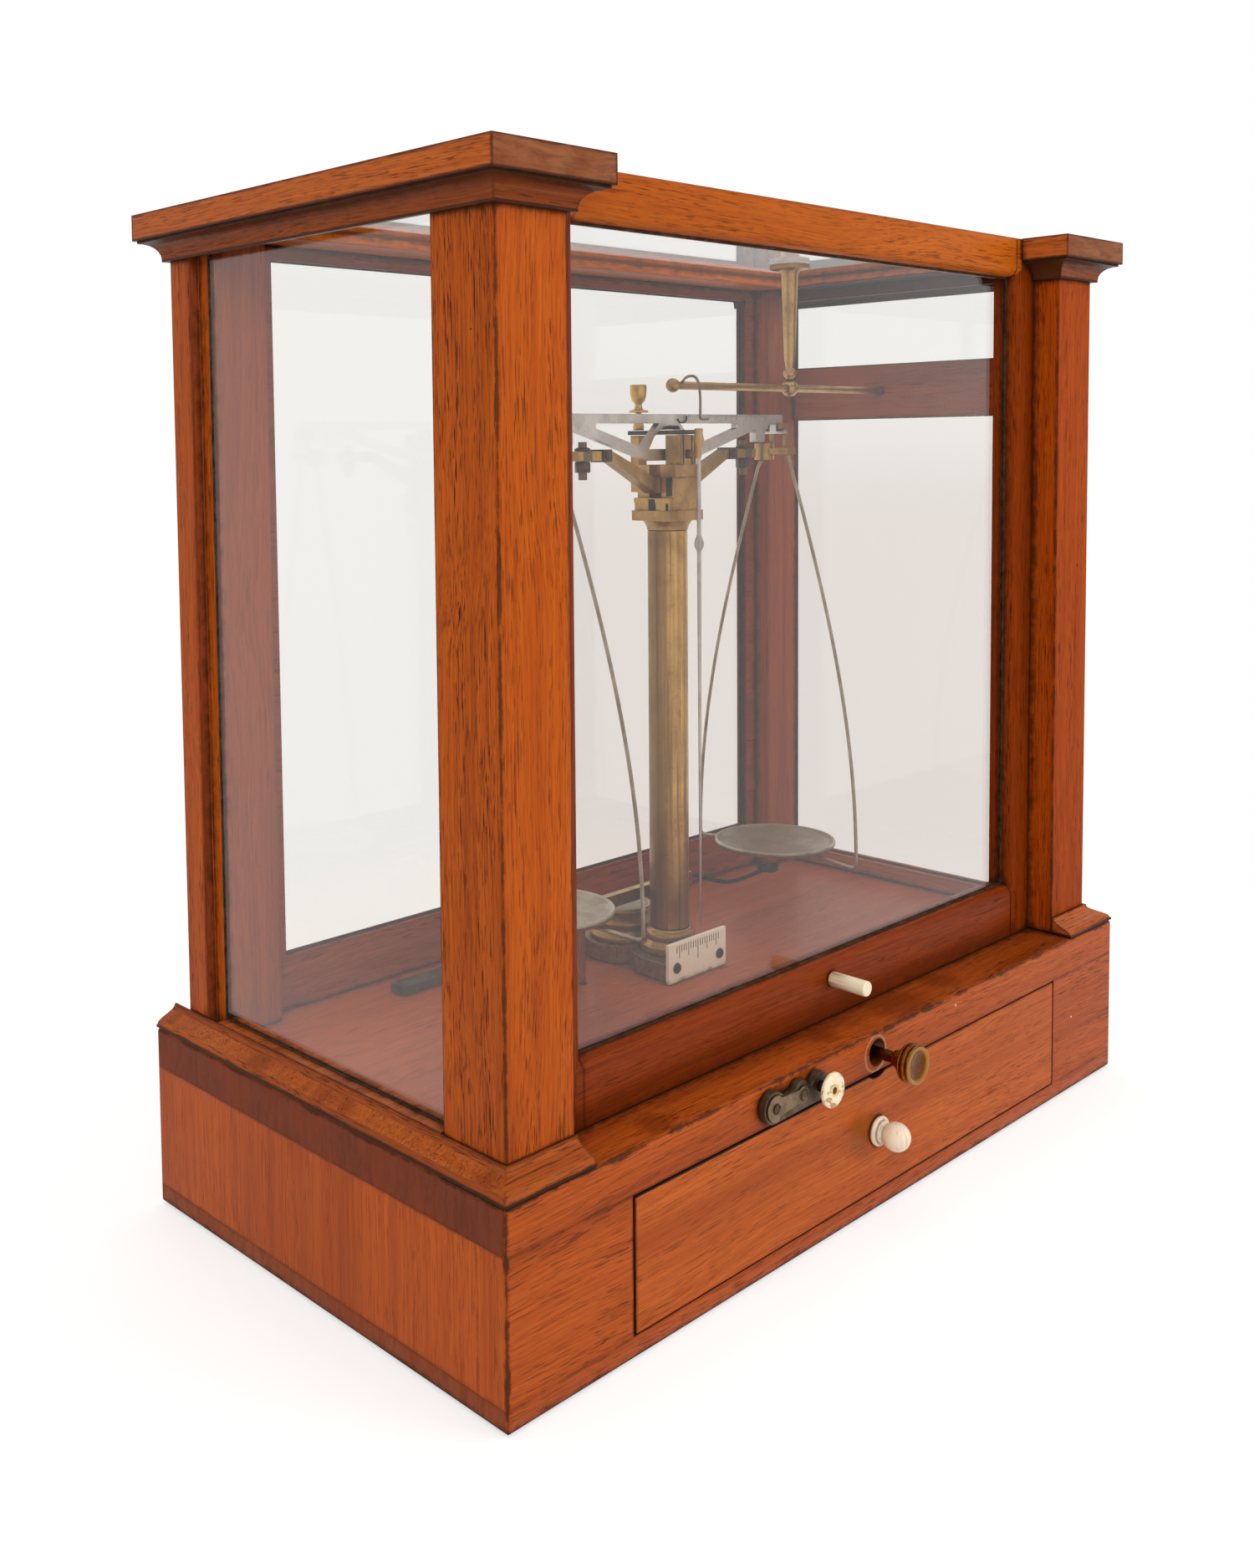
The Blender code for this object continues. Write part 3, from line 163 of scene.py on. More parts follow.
dullness = calc(grainTree, "ADD", ramp(grainTree, streak, 0.2, 0.8, 0.0, 0.10),
                times(grainTree, pores, grainLook["poreGloss"]))
join(grainTree, shade, result["Colour"])
join(grainTree, dullness, result["Gloss"])
join(grainTree, times(grainTree, pores, -1.0), result["Relief"])

# handling and shade: dirt and painted shade where pieces meet (from ambient occlusion), wear on the edges,
# and a few pale flecks and dark pin holes
handlingLook = dict(patch=170.0, rub=95.0, wanderX=0.0006, wanderZ=0.0009,
                    fleck=dict(scale=55.0, size=0.0007, keep=0.90),
                    hole=dict(scale=24.0, size=0.0008, keep=0.88))
handlingAndShadeTree, given, result = newGroup(
    "handling and shade",
    [("Vector", "Vector", None), ("Reach", "Float", 0.006), ("Edge", "Float", 0.0024)],
    [("Dirt And Shade", "Float"), ("Wear", "Float"), ("Fleck", "Float"), ("Hole", "Float")])
# painted shade: ambient occlusion darkens corners, joints and recesses, standing for both shade and dirt
# there
closed = put(handlingAndShadeTree, "AmbientOcclusion", {"Distance": given["Reach"]}, samples=8).outputs["AO"]
patchy = noise(handlingAndShadeTree, given["Vector"], handlingLook["patch"], 3.0, 0.6)
openness = calc(handlingAndShadeTree, "ADD", closed, ramp(handlingAndShadeTree, patchy, 0.25, 0.75, -0.16, 0.12))
join(handlingAndShadeTree, ramp(handlingAndShadeTree, openness, 0.42, 0.86, 1.0, 0.0), result["Dirt And Shade"])
flat = put(handlingAndShadeTree, "NewGeometry").outputs["Normal"]
eased = put(handlingAndShadeTree, "Bevel", {"Radius": given["Edge"]}, samples=4).outputs[0]
agree = put(handlingAndShadeTree, "VectorMath", {0: flat, 1: eased}, operation="DOT_PRODUCT").outputs["Value"]
rubbed = ramp(handlingAndShadeTree, noise(handlingAndShadeTree, given["Vector"], handlingLook["rub"], 4.0, 0.65), 0.28, 0.56)
join(handlingAndShadeTree, times(handlingAndShadeTree, ramp(handlingAndShadeTree, agree, 0.82, 0.975, 1.0, 0.0), rubbed),
     result["Wear"])


# specks: cells of a random pattern, of which a few are kept, each filled out to its own size
def specks(scale, size, keep):
    wander = noise(handlingAndShadeTree, given["Vector"], scale * 7.0, 1.0)
    push = put(handlingAndShadeTree, "CombineXYZ", {0: times(handlingAndShadeTree, wander, handlingLook["wanderX"]),
                                            2: times(handlingAndShadeTree, wander, handlingLook["wanderZ"])})
    moved = put(handlingAndShadeTree, "VectorMath", {0: given["Vector"], 1: push.outputs[0]}, operation="ADD")
    cell = put(handlingAndShadeTree, "TexVoronoi", {"Vector": moved.outputs[0], "Scale": scale})
    pick = put(handlingAndShadeTree, "SeparateColor", {0: cell.outputs["Color"]})
    width = times(handlingAndShadeTree, pick.outputs[1], size * scale)
    inside = calc(handlingAndShadeTree, "LESS_THAN", cell.outputs["Distance"], width)
    return times(handlingAndShadeTree, inside, calc(handlingAndShadeTree, "GREATER_THAN", pick.outputs[0], keep))


join(handlingAndShadeTree, specks(**handlingLook["fleck"]), result["Fleck"])
join(handlingAndShadeTree, specks(**handlingLook["hole"]), result["Hole"])

# toned metal: clouded tarnish, dark spots and drawn lines along the piece's Z
toneLook = dict(fine=700.0, lines=1400.0, lineRelief=0.6)
toneTree, given, result = newGroup(
    "toned metal",
    [("Vector", "Vector", None), ("Clean", "Color", None), ("Toned", "Color", None),
     ("Dark", "Color", None), ("Cloud", "Float", 45.0), ("Spots", "Float", 0.5),
     ("Drawn", "Vector", (1.0, 1.0, 0.03))],
    [("Colour", "Color"), ("Gloss", "Float"), ("Relief", "Float")])
cloud = noise(toneTree, given["Vector"], given["Cloud"], 5.0, 0.62, 0.6)
fine = noise(toneTree, given["Vector"], toneLook["fine"], 3.0, 0.6)
drawn = put(toneTree, "VectorMath", {0: given["Vector"], 1: given["Drawn"]}, operation="MULTIPLY").outputs[0]
lines = noise(toneTree, drawn, toneLook["lines"], 2.0, 0.5)
tone = mixed(toneTree, ramp(toneTree, cloud, 0.34, 0.66), given["Clean"], given["Toned"])
tone = mixed(toneTree, times(toneTree, ramp(toneTree, fine, 0.52, 0.74), given["Spots"]), tone, given["Dark"])
tone = mixed(toneTree, ramp(toneTree, lines, 0.40, 0.75, 0.0, 0.22), tone, given["Dark"])
dullness = calc(toneTree, "ADD", ramp(toneTree, cloud, 0.3, 0.7, 0.0, 0.16),
                ramp(toneTree, fine, 0.4, 0.8, 0.0, 0.10))
join(toneTree, tone, result["Colour"])
join(toneTree, dullness, result["Gloss"])
join(toneTree, calc(toneTree, "ADD", times(toneTree, lines, toneLook["lineRelief"]), fine), result["Relief"])
print("shader groups made")


def newFinish(name):
    finish = bpy.data.materials.new(name)
    finish.use_nodes = True
    tree = finish.node_tree
    shader = tree.nodes["Principled BSDF"]
    return finish, tree, shader, put(tree, "TexCoord").outputs


def useGroup(tree, group, values):
    return put(tree, "Group", values, node_tree=group).outputs


# wood: each board has its own grain direction and its own place in the pattern
woodTones = {
    "post": dict(pale=(0.47, 0.094, 0.006), warm=(0.37, 0.062, 0.004), deep=(0.24, 0.034, 0.003),
                 pore=(0.060, 0.012, 0.003), end=(0.20, 0.050, 0.016)),
    "shadePost": dict(pale=(0.40, 0.066, 0.004), warm=(0.31, 0.044, 0.003), deep=(0.17, 0.022, 0.002),
                      pore=(0.045, 0.009, 0.002), end=(0.17, 0.042, 0.014)),
    "base": dict(pale=(0.45, 0.088, 0.012), warm=(0.36, 0.063, 0.008), deep=(0.22, 0.034, 0.005),
                 pore=(0.090, 0.018, 0.005), end=(0.155, 0.034, 0.013)),
    "drawer": dict(pale=(0.50, 0.110, 0.016), warm=(0.41, 0.080, 0.011), deep=(0.27, 0.045, 0.007),
                   pore=(0.150, 0.030, 0.007), end=(0.20, 0.050, 0.016)),
    "side": dict(pale=(0.47, 0.092, 0.010), warm=(0.38, 0.066, 0.007), deep=(0.24, 0.036, 0.005),
                 pore=(0.17, 0.030, 0.006), end=(0.16, 0.036, 0.014)),
    "cornice": dict(pale=(0.45, 0.108, 0.018), warm=(0.36, 0.075, 0.013), deep=(0.21, 0.040, 0.009),
                    pore=(0.075, 0.018, 0.006), end=(0.26, 0.092, 0.038)),
    # painted shade: a darker copy of the cornice wood for the coves under the slab
    "shadedCove": dict(pale=(0.30, 0.068, 0.013), warm=(0.22, 0.046, 0.009), deep=(0.12, 0.024, 0.005),
                 pore=(0.050, 0.012, 0.004), end=(0.20, 0.062, 0.024)),
    "postSide": dict(pale=(0.46, 0.090, 0.005), warm=(0.35, 0.060, 0.004), deep=(0.19, 0.028, 0.002),
                     pore=(0.042, 0.008, 0.002), end=(0.17, 0.042, 0.014)),
    # painted shade: a darker copy of the wood for the sash stiles and bottom rail
    "sash": dict(pale=(0.235, 0.037, 0.003), warm=(0.175, 0.025, 0.002), deep=(0.095, 0.012, 0.001),
                 pore=(0.040, 0.007, 0.001), end=(0.12, 0.030, 0.010)),
    "ledge": dict(pale=(0.40, 0.078, 0.009), warm=(0.32, 0.056, 0.006), deep=(0.17, 0.027, 0.003),
                  pore=(0.045, 0.009, 0.002), end=(0.16, 0.036, 0.012)),
    "bottom": dict(pale=(0.45, 0.088, 0.012), warm=(0.36, 0.063, 0.008), deep=(0.22, 0.034, 0.005),
                   pore=(0.13, 0.027, 0.007), end=(0.27, 0.060, 0.016)),
    # painted light: a lighter copy of the wood for the top rails
    "rail": dict(pale=(0.56, 0.140, 0.010), warm=(0.46, 0.098, 0.006), deep=(0.29, 0.050, 0.004),
                 pore=(0.10, 0.020, 0.003), end=(0.22, 0.060, 0.022)),
    # painted shade: a darker copy of the wood for faces inside the case
    "inner": dict(pale=(0.34, 0.076, 0.022), warm=(0.27, 0.055, 0.015), deep=(0.160, 0.030, 0.009),
                  pore=(0.060, 0.013, 0.005), end=(0.16, 0.040, 0.014)),
}
handlingAndShadeTones = dict(dirtAndShade=(0.020, 0.008, 0.004), hole=(0.03, 0.012, 0.006), fleck=(0.75, 0.62, 0.48))
woodLook = dict(cutFacing=(0.72, 0.90), worn=0.8, wear=0.9, dirtAndShade=0.80, fleck=0.8, dirtRough=0.3,
                cutRough=0.15, bump=0.25, poreDepth=0.00012)
grainTurn = {"x": (0.0, -math.pi / 2, 0.0), "y": (math.pi / 2, 0.0, 0.0), "z": (0.0, 0.0, 0.0)}


def woodFinish(name, grain, tone, shift, gloss=0.26, figure=0.6, pores=0.75, shine=0.07):
    finish, tree, shader, spot = newFinish(name)
    look, colours = woodLook, woodTones[tone]
    turned = put(tree, "Mapping", {"Vector": spot["Object"], "Rotation": grainTurn[grain],
                                   "Location": shift}).outputs[0]
    facing = put(tree, "SeparateXYZ", {0: spot["Normal"]}).outputs["xyz".index(grain)]
    endMask = ramp(tree, calc(tree, "ABSOLUTE", facing), *look["cutFacing"])
    grainOut = useGroup(tree, grainTree, {
        "Vector": turned, **{key.title(): rgb(colour) for key, colour in colours.items()},
        "End Mask": endMask, "Figure": figure, "Pores": pores})
    used = useGroup(tree, handlingAndShadeTree, {"Vector": turned})
    worn = tuple(look["worn"] * part for part in colours["pore"])
    shade = mixed(tree, times(tree, used["Wear"], look["wear"]), grainOut["Colour"], rgb(worn))
    # painted shade and dirt: darker where other pieces close in
    shade = mixed(tree, times(tree, used["Dirt And Shade"], look["dirtAndShade"]), shade, rgb(handlingAndShadeTones["dirtAndShade"]))
    shade = mixed(tree, used["Hole"], shade, rgb(handlingAndShadeTones["hole"]))
    shade = mixed(tree, times(tree, used["Fleck"], look["fleck"]), shade, rgb(handlingAndShadeTones["fleck"]))
    rough = calc(tree, "ADD", calc(tree, "ADD", grainOut["Gloss"], gloss),
                 times(tree, used["Dirt And Shade"], look["dirtRough"]))
    rough = calc(tree, "ADD", rough, times(tree, endMask, look["cutRough"]))
    bump = put(tree, "Bump", {"Height": grainOut["Relief"], "Strength": look["bump"],
                              "Distance": look["poreDepth"]}).outputs[0]
    feed(tree, shader, {"Base Color": shade, "Roughness": rough, "Normal": bump, "Specular IOR Level": shine})
    return finish


# the cove, sash and inner tones are painted shade, the rail tone painted light
# the boards of the base front are cut from one plank, so they share one place in the pattern
woodBoards = {
    "base_bottom_board": ("x", "bottom", 0), "base_left_side": ("z", "side", 1),
    "base_right_side": ("z", "side", 2), "base_left_stile": ("x", "base", 0),
    "base_right_stile": ("x", "base", 0), "base_back_board": ("x", "base", 3),
    "base_top_board": ("x", "base", 0), "base_moulding_left": ("y", "cornice", 4),
    "base_moulding_right": ("y", "cornice", 5), "post_front_left": ("z", "post", 6),
    "post_front_right": ("z", "shadePost", 7), "post_back_left": ("z", "post", 8),
    "post_back_right": ("z", "post", 9), "cornice_left": ("y", "cornice", 10),
    "cornice_right": ("y", "cornice", 11), "top_front_rail": ("x", "post", 12),
    "top_back_rail": ("x", "rail", 13), "right_cross_rail": ("y", "inner", 14),
    "back_frame": ("x", "inner", 15), "sash_top_rail": ("x", "rail", 16),
    "sash_bottom_rail": ("x", "sash", 17), "sash_left_stile": ("z", "sash", 18),
    "sash_right_stile": ("z", "sash", 19), "drawer_front": ("x", "drawer", 20),
    "drawer_box": ("x", "base", 21), "post_inside": ("z", "inner", 22),
    "moulding_front": ("x", "cornice", 23), "ledge": ("x", "ledge", 24),
    "post_side": ("z", "postSide", 25), "cove_side": ("y", "shadedCove", 26), "cove_front": ("x", "shadedCove", 27),
}
boardWear = {
    "post_side": dict(figure=0.7, pores=1.0), "ledge": dict(figure=0.95, pores=0.9),
    "post_front_right": dict(shine=0.02), "sash_right_stile": dict(shine=0.02),
    "base_moulding_left": dict(figure=0.95, pores=0.95), "moulding_front": dict(figure=0.95, pores=0.9),
    "sash_bottom_rail": dict(figure=0.5, pores=0.5), "post_front_left": dict(figure=0.45, pores=0.75),
    "base_left_side": dict(figure=0.45, pores=0.6), "post_inside": dict(figure=0.4, pores=0.4),
}
boardStep = (0.37, 0.61, 0.83)  # how far apart two boards lie in the pattern
boardStart = 0.2
finishes = {}
for name, (grain, tone, place) in woodBoards.items():
    shift = (boardStep[0] * place, boardStep[1] * place + boardStart, boardStep[2] * place)
    finishes[name] = woodFinish("wood " + name, grain, tone, shift, **boardWear.get(name, {}))
print("wood finishes:", len(woodBoards))


# metal: brass, bronze, steel, nickel and the pale beam alloy
metalTones = {
    "aged_brass": dict(clean=(0.60, 0.365, 0.125), toned=(0.43, 0.250, 0.082), dark=(0.19, 0.105, 0.040),
                       gloss=0.28, spots=0.45, cloud=38.0),
    "columnBrass": dict(clean=(0.80, 0.50, 0.150), toned=(0.60, 0.360, 0.105), dark=(0.27, 0.150, 0.050),
                        gloss=0.28, spots=0.35, cloud=38.0),
    "bronze": dict(clean=(0.165, 0.115, 0.070), toned=(0.108, 0.074, 0.044), dark=(0.042, 0.030, 0.020),
                   gloss=0.42, spots=0.7, cloud=120.0),
    "dark_steel": dict(clean=(0.100, 0.090, 0.082), toned=(0.064, 0.056, 0.050), dark=(0.026, 0.022, 0.020),
                       gloss=0.38, spots=0.6, cloud=90.0),
    "beam_alloy": dict(clean=(0.76, 0.72, 0.67), toned=(0.65, 0.61, 0.565), dark=(0.40, 0.37, 0.335),
                       gloss=0.32, spots=0.25, cloud=60.0),
    "nickel": dict(clean=(0.58, 0.52, 0.395), toned=(0.46, 0.41, 0.305), dark=(0.26, 0.225, 0.160),
                   gloss=0.38, spots=0.3, cloud=70.0),
    "knobBrass": dict(clean=(0.27, 0.076, 0.007), toned=(0.155, 0.038, 0.003), dark=(0.050, 0.015, 0.003),
                      gloss=0.22, spots=0.55, cloud=85.0),
    "plinthBronze": dict(clean=(0.42, 0.268, 0.136), toned=(0.290, 0.184, 0.092), dark=(0.115, 0.076, 0.042),
                         gloss=0.40, spots=0.6, cloud=110.0),
    "plateFace": dict(clean=(0.29, 0.205, 0.125), toned=(0.21, 0.148, 0.088), dark=(0.080, 0.056, 0.036),
                      gloss=0.44, spots=0.6, cloud=150.0),
}


metalLook = dict(reach=0.003, edge=0.0006, dirtAndShade=0.75, dirtAndShadeTone=0.35, wear=0.5, bump=0.12, lineDepth=0.00006)


def metalFinish(name, tone, drawn=(1.0, 1.0, 0.03)):
    finish, tree, shader, spot = newFinish(name)
    look, colours = metalLook, metalTones[tone]
    toneOut = useGroup(tree, toneTree, {
        "Vector": spot["Object"], **{key.title(): rgb(colours[key]) for key in ("clean", "toned", "dark")},
        "Cloud": colours["cloud"], "Spots": colours["spots"], "Drawn": drawn})
    used = useGroup(tree, handlingAndShadeTree, {"Vector": spot["Object"], "Reach": look["reach"],
                                         "Edge": look["edge"]})
    # painted shade and dirt: darker where other pieces close in
    darkening = tuple(look["dirtAndShadeTone"] * part for part in colours["dark"])
    shade = mixed(tree, times(tree, used["Dirt And Shade"], look["dirtAndShade"]), toneOut["Colour"], rgb(darkening))
    shade = mixed(tree, times(tree, used["Wear"], look["wear"]), shade, rgb(colours["clean"]))
    rough = calc(tree, "ADD", toneOut["Gloss"], colours["gloss"])
    bump = put(tree, "Bump", {"Height": toneOut["Relief"], "Strength": look["bump"],
                              "Distance": look["lineDepth"]}).outputs[0]
    feed(tree, shader, {"Base Color": shade, "Roughness": rough, "Normal": bump, "Metallic": 1.0})
    return finish, tree, shader, shade, spot


def overlay(tree, shader, shade, mask, colour):
    shade = mixed(tree, mask, shade, rgb(colour))
    join(tree, shade, shader.inputs["Base Color"])
    return shade


def axisOf(tree, spot, axis):
    return put(tree, "SeparateXYZ", {0: spot["Object"]}).outputs["xyz".index(axis)]


# distance from an axis line: length of the two coordinates across it
def awayFrom(tree, spot, axis, middle):
    parts = put(tree, "SeparateXYZ", {0: spot["Object"]}).outputs
    first, second = [calc(tree, "SUBTRACT", parts["xyz".index(key)], place)
                     for key, place in zip([key for key in "xyz" if key != axis], middle)]
    return calc(tree, "SQRT", calc(tree, "ADD", times(tree, first, first),
                                   times(tree, second, second)))


# bone: long grain lines, brown stains, and dirt with painted shade in the turned grooves
boneTones = {
    "plate": dict(pale=(0.92, 0.83, 0.68), line=(0.74, 0.59, 0.38), stain=(0.54, 0.34, 0.16),
                  share=(0.66, 0.80)),
    "ball": dict(pale=(0.83, 0.695, 0.52), line=(0.58, 0.375, 0.21), stain=(0.56, 0.33, 0.16),
                 share=(0.64, 0.80)),
    "disc": dict(pale=(0.83, 0.72, 0.50), line=(0.66, 0.46, 0.22), stain=(0.36, 0.145, 0.030),
                 share=(0.52, 0.58), patch=330.0),
    "peg": dict(pale=(0.84, 0.73, 0.53), line=(0.60, 0.40, 0.19), stain=(0.50, 0.28, 0.10),
                share=(0.64, 0.80), lines=0.22),
}
boneLook = dict(reach=0.004, edge=0.0008, dirtAndShade=0.9, dirtAndShadeTone=(0.05, 0.03, 0.018), stain=0.8,
                rough=(0.30, 0.48), glow=0.12, glowDepth=(0.0012, 0.0008, 0.0005))


def boneFinish(name, tone, along=(900.0, 90.0, 900.0)):
    finish, tree, shader, spot = newFinish(name)
    look, colours = boneLook, boneTones[tone]
    grainLines = noise(tree, stretched(tree, spot["Object"], along), 1.0, 2.0)
    stain = noise(tree, spot["Object"], colours.get("patch", 190.0), 4.0, 0.6, 0.8)
    used = useGroup(tree, handlingAndShadeTree, {"Vector": spot["Object"], "Reach": look["reach"],
                                         "Edge": look["edge"]})
    lined = ramp(tree, grainLines, 0.45, 0.8, 0.0, colours.get("lines", 0.45))
    shade = mixed(tree, lined, rgb(colours["pale"]), rgb(colours["line"]))
    stained = ramp(tree, stain, *colours["share"], 0.0, look["stain"])
    shade = mixed(tree, stained, shade, rgb(colours["stain"]))
    # painted shade and dirt: darker where the grooves close in
    shade = mixed(tree, times(tree, used["Dirt And Shade"], look["dirtAndShade"]), shade, rgb(look["dirtAndShadeTone"]))
    feed(tree, shader, {"Base Color": shade, "Roughness": ramp(tree, stain, 0.3, 0.8, *look["rough"]),
                        "Subsurface Weight": look["glow"], "Subsurface Radius": look["glowDepth"],
                        "Subsurface Scale": 1.0})
    return finish, tree, shader, shade, spot


# two close tones in small clouds, for putty, ink and dark timber; the putty and the ink also serve as painted
# shade
def cloudFinish(name, pale, deep, rough=0.6, scale=220.0):
    finish, tree, shader, spot = newFinish(name)
    cloud = noise(tree, spot["Object"], scale, 4.0, 0.6)
    shade = mixed(tree, ramp(tree, cloud, 0.35, 0.65), rgb(pale), rgb(deep))
    feed(tree, shader, {"Base Color": shade, "Roughness": ramp(tree, cloud, 0.3, 0.7, rough, rough + 0.2),
                        "Specular IOR Level": 0.2})
    return finish


# glass: lamps and soft light pass straight through, the rest reflects and bends as a pane does
paneLooks = {
    "sash_glass": dict(low=(0.82, 0.765, 0.735), high=(0.93, 0.92, 0.905), fade=(0.29, 0.38)),
    "other": dict(low=(0.935, 0.925, 0.905), high=(0.94, 0.935, 0.92), fade=(0.10, 0.40)),
}
paneBend = dict(index=1.38, streak=(14.0, 14.0, 9.0), rough=0.02, clear=(0.97, 0.965, 0.955))


def glassFinish(name, look):
    finish, tree, shader, spot = newFinish(name)
    streaks = noise(tree, stretched(tree, spot["Object"], paneBend["streak"]), 1.0, 2.0)
    fade = ramp(tree, axisOf(tree, spot, "z"), *look["fade"])
    tint = mixed(tree, fade, rgb(look["low"]), rgb(look["high"]))
    feed(tree, shader, {"Base Color": tint, "Transmission Weight": 1.0, "IOR": paneBend["index"],
                        "Roughness": ramp(tree, streaks, 0.3, 0.8, 0.0, paneBend["rough"])})
    clear = put(tree, "BsdfTransparent", {"Color": rgb(paneBend["clear"])})
    rays = put(tree, "LightPath").outputs
    passing = calc(tree, "MAXIMUM", rays["Is Shadow Ray"], rays["Is Diffuse Ray"])
    choice = put(tree, "MixShader", {0: passing, 1: shader.outputs[0], 2: clear.outputs[0]})
    tree.links.new(choice.outputs[0], tree.nodes["Material Output"].inputs["Surface"])
    return finish


shared = {slot: metalFinish("metal " + slot, slot)[0] for slot in metalTones}
shared["bone"] = boneFinish("bone plate", "plate")[0]
# the putty finish also paints shade at the pane edges, the ink finish paints shade in the column head
puttyAndShade = cloudFinish("old putty and painted shade", (0.070, 0.032, 0.016), (0.028, 0.013, 0.007))
inkAndShade = cloudFinish("engraved black and painted shade", (0.035, 0.028, 0.024), (0.018, 0.014, 0.012))
special = {}

# column: long dark and bright streaks down the tube, painted reflections, and a painted shade on its left
# side
columnLook = dict(run=(260.0, 260.0, 5.0), dark=(0.23, 0.125, 0.044), bright=(0.92, 0.62, 0.22),
                  blotch=(90.0, 90.0, 40.0), stain=(0.25, 0.140, 0.058), away=(-0.733, 0.680, 0.0),
                  fade=(0.0046, 0.0084), side=(0.24, 0.140, 0.056))
look = columnLook
finish, tree, shader, shade, spot = metalFinish("column brass", "columnBrass")
runs = noise(tree, stretched(tree, spot["Object"], look["run"]), 1.0, 4.0, 0.6)
blotch = noise(tree, stretched(tree, spot["Object"], look["blotch"]), 1.0, 5.0, 0.65, 0.6)
leftward = put(tree, "VectorMath", {0: spot["Object"], 1: look["away"]},
               operation="DOT_PRODUCT").outputs["Value"]
# painted reflection: dark and bright streaks down the tube
shade = overlay(tree, shader, shade, ramp(tree, runs, 0.52, 0.62, 0.0, 0.7), look["dark"])
shade = overlay(tree, shader, shade, ramp(tree, runs, 0.44, 0.34, 0.0, 0.8), look["bright"])
# painted shade: the tube is darker on its left side
shade = overlay(tree, shader, shade, ramp(tree, leftward, *look["fade"], 0.0, 0.85), look["side"])
overlay(tree, shader, shade, ramp(tree, blotch, 0.56, 0.68, 0.0, 0.55), look["stain"])
special["column_tube"] = finish
special["finial"] = shared["columnBrass"]
special["column_base_plate"] = shared["plinthBronze"]
special["bearing_plate"] = cloudFinish("bearing steel", (0.062, 0.055, 0.050), (0.034, 0.030, 0.028), 0.42)

# pointer: brass boss at the top, pale rod, bright poise
pointerLook = dict(boss=(0.3265, 0.3275), brass=(0.66, 0.40, 0.14))
finish, tree, shader, shade, spot = metalFinish("pointer metal", "beam_alloy")
overlay(tree, shader, shade, ramp(tree, axisOf(tree, spot, "z"), *pointerLook["boss"]), pointerLook["brass"])
special["pointer"] = finish

# rider rod: brass, with the bent wire in dark steel
riderLook = dict(axis=(0.018, 0.3625), reach=(0.0050, 0.0058), end=0.05, steel=(0.25, 0.19, 0.13))
look = riderLook
finish, tree, shader, shade, spot = metalFinish("rider brass", "aged_brass", (0.03, 1.0, 1.0))
wireMask = times(tree, ramp(tree, awayFrom(tree, spot, "x", look["axis"]), *look["reach"]),
                 calc(tree, "LESS_THAN", axisOf(tree, spot, "x"), look["end"]))
overlay(tree, shader, shade, wireMask, look["steel"])
special["rider_rod"] = finish

# arrest arms: brass, with dark pins
armLook = dict(pin=0.058, reach=(0.0026, 0.0030), dark=(0.20, 0.140, 0.080))
finish, tree, shader, shade, spot = metalFinish("arm brass", "aged_brass")
outward = calc(tree, "ABSOLUTE", axisOf(tree, spot, "x"))
beside = calc(tree, "ABSOLUTE", calc(tree, "SUBTRACT", outward, armLook["pin"]))
overlay(tree, shader, shade, ramp(tree, beside, *armLook["reach"], 1.0, 0.0), armLook["dark"])
special["arrest_arms"] = finish

# peg: browner towards the rail
pegLook = dict(along=(-0.1035, -0.0905), line=(700.0, 60.0, 700.0), brown=(0.30, 0.125, 0.035))
finish, tree, shader, shade, spot = boneFinish("bone peg", "peg")
pegLines = noise(tree, stretched(tree, spot["Object"], pegLook["line"]), 1.0, 3.0)
root = times(tree, ramp(tree, axisOf(tree, spot, "y"), *pegLook["along"]),
             ramp(tree, pegLines, 0.36, 0.62, 0.25, 0.9))
overlay(tree, shader, shade, root, pegLook["brown"])
special["sash_peg"] = finish


# marks on the boards are laid over what already colours them
def boardParts(name):
    tree = finishes[name].node_tree
    shader = tree.nodes["Principled BSDF"]
    return tree, shader, shader.inputs["Base Color"].links[0].from_socket, put(tree, "TexCoord").outputs


markLook = dict(roundRough=240.0, roundSpread=0.25, ringStart=0.9, bandRough=130.0, bandSpread=0.15,
                edgeRough=70.0, edgeSpread=0.6, edgeFull=0.3)
# painted shade: the tone for the drawer notch and the gap over the drawer, and the tone for the cove under
# the slab
markTones = dict(edge=(0.040, 0.014, 0.006), paintedShadow=(0.012, 0.005, 0.003), rubbed=(0.55, 0.27, 0.13),
                 stain=(0.25, 0.060, 0.008), damp=(0.115, 0.018, 0.002), indoor=(0.56, 0.125, 0.040),
                 joint=(0.022, 0.009, 0.005), rail=(0.085, 0.012, 0.001), slab=(0.030, 0.012, 0.006),
                 shadedCove=(0.035, 0.014, 0.007))


# round mark: full to the first radius, gone by the second; with a start it is a ring
def markRound(board, tone, axis, middle, inner, outer, strength, start=None):
    tree, shader, shade, spot = boardParts(board)
    rough = noise(tree, spot["Object"], markLook["roundRough"], 4.0, 0.65)
    spread = markLook["roundSpread"] * (outer - inner)
    away = calc(tree, "ADD", awayFrom(tree, spot, axis, middle), ramp(tree, rough, 0.2, 0.8, -spread, spread))
    mask = ramp(tree, away, inner, outer, strength, 0.0)
    if axis == "y":
        mask = times(tree, mask, calc(tree, "LESS_THAN", axisOf(tree, spot, "y"), 0.0))
    if start is not None:
        mask = times(tree, mask, ramp(tree, away, markLook["ringStart"] * start, start))
    overlay(tree, shader, shade, mask, markTones[tone])


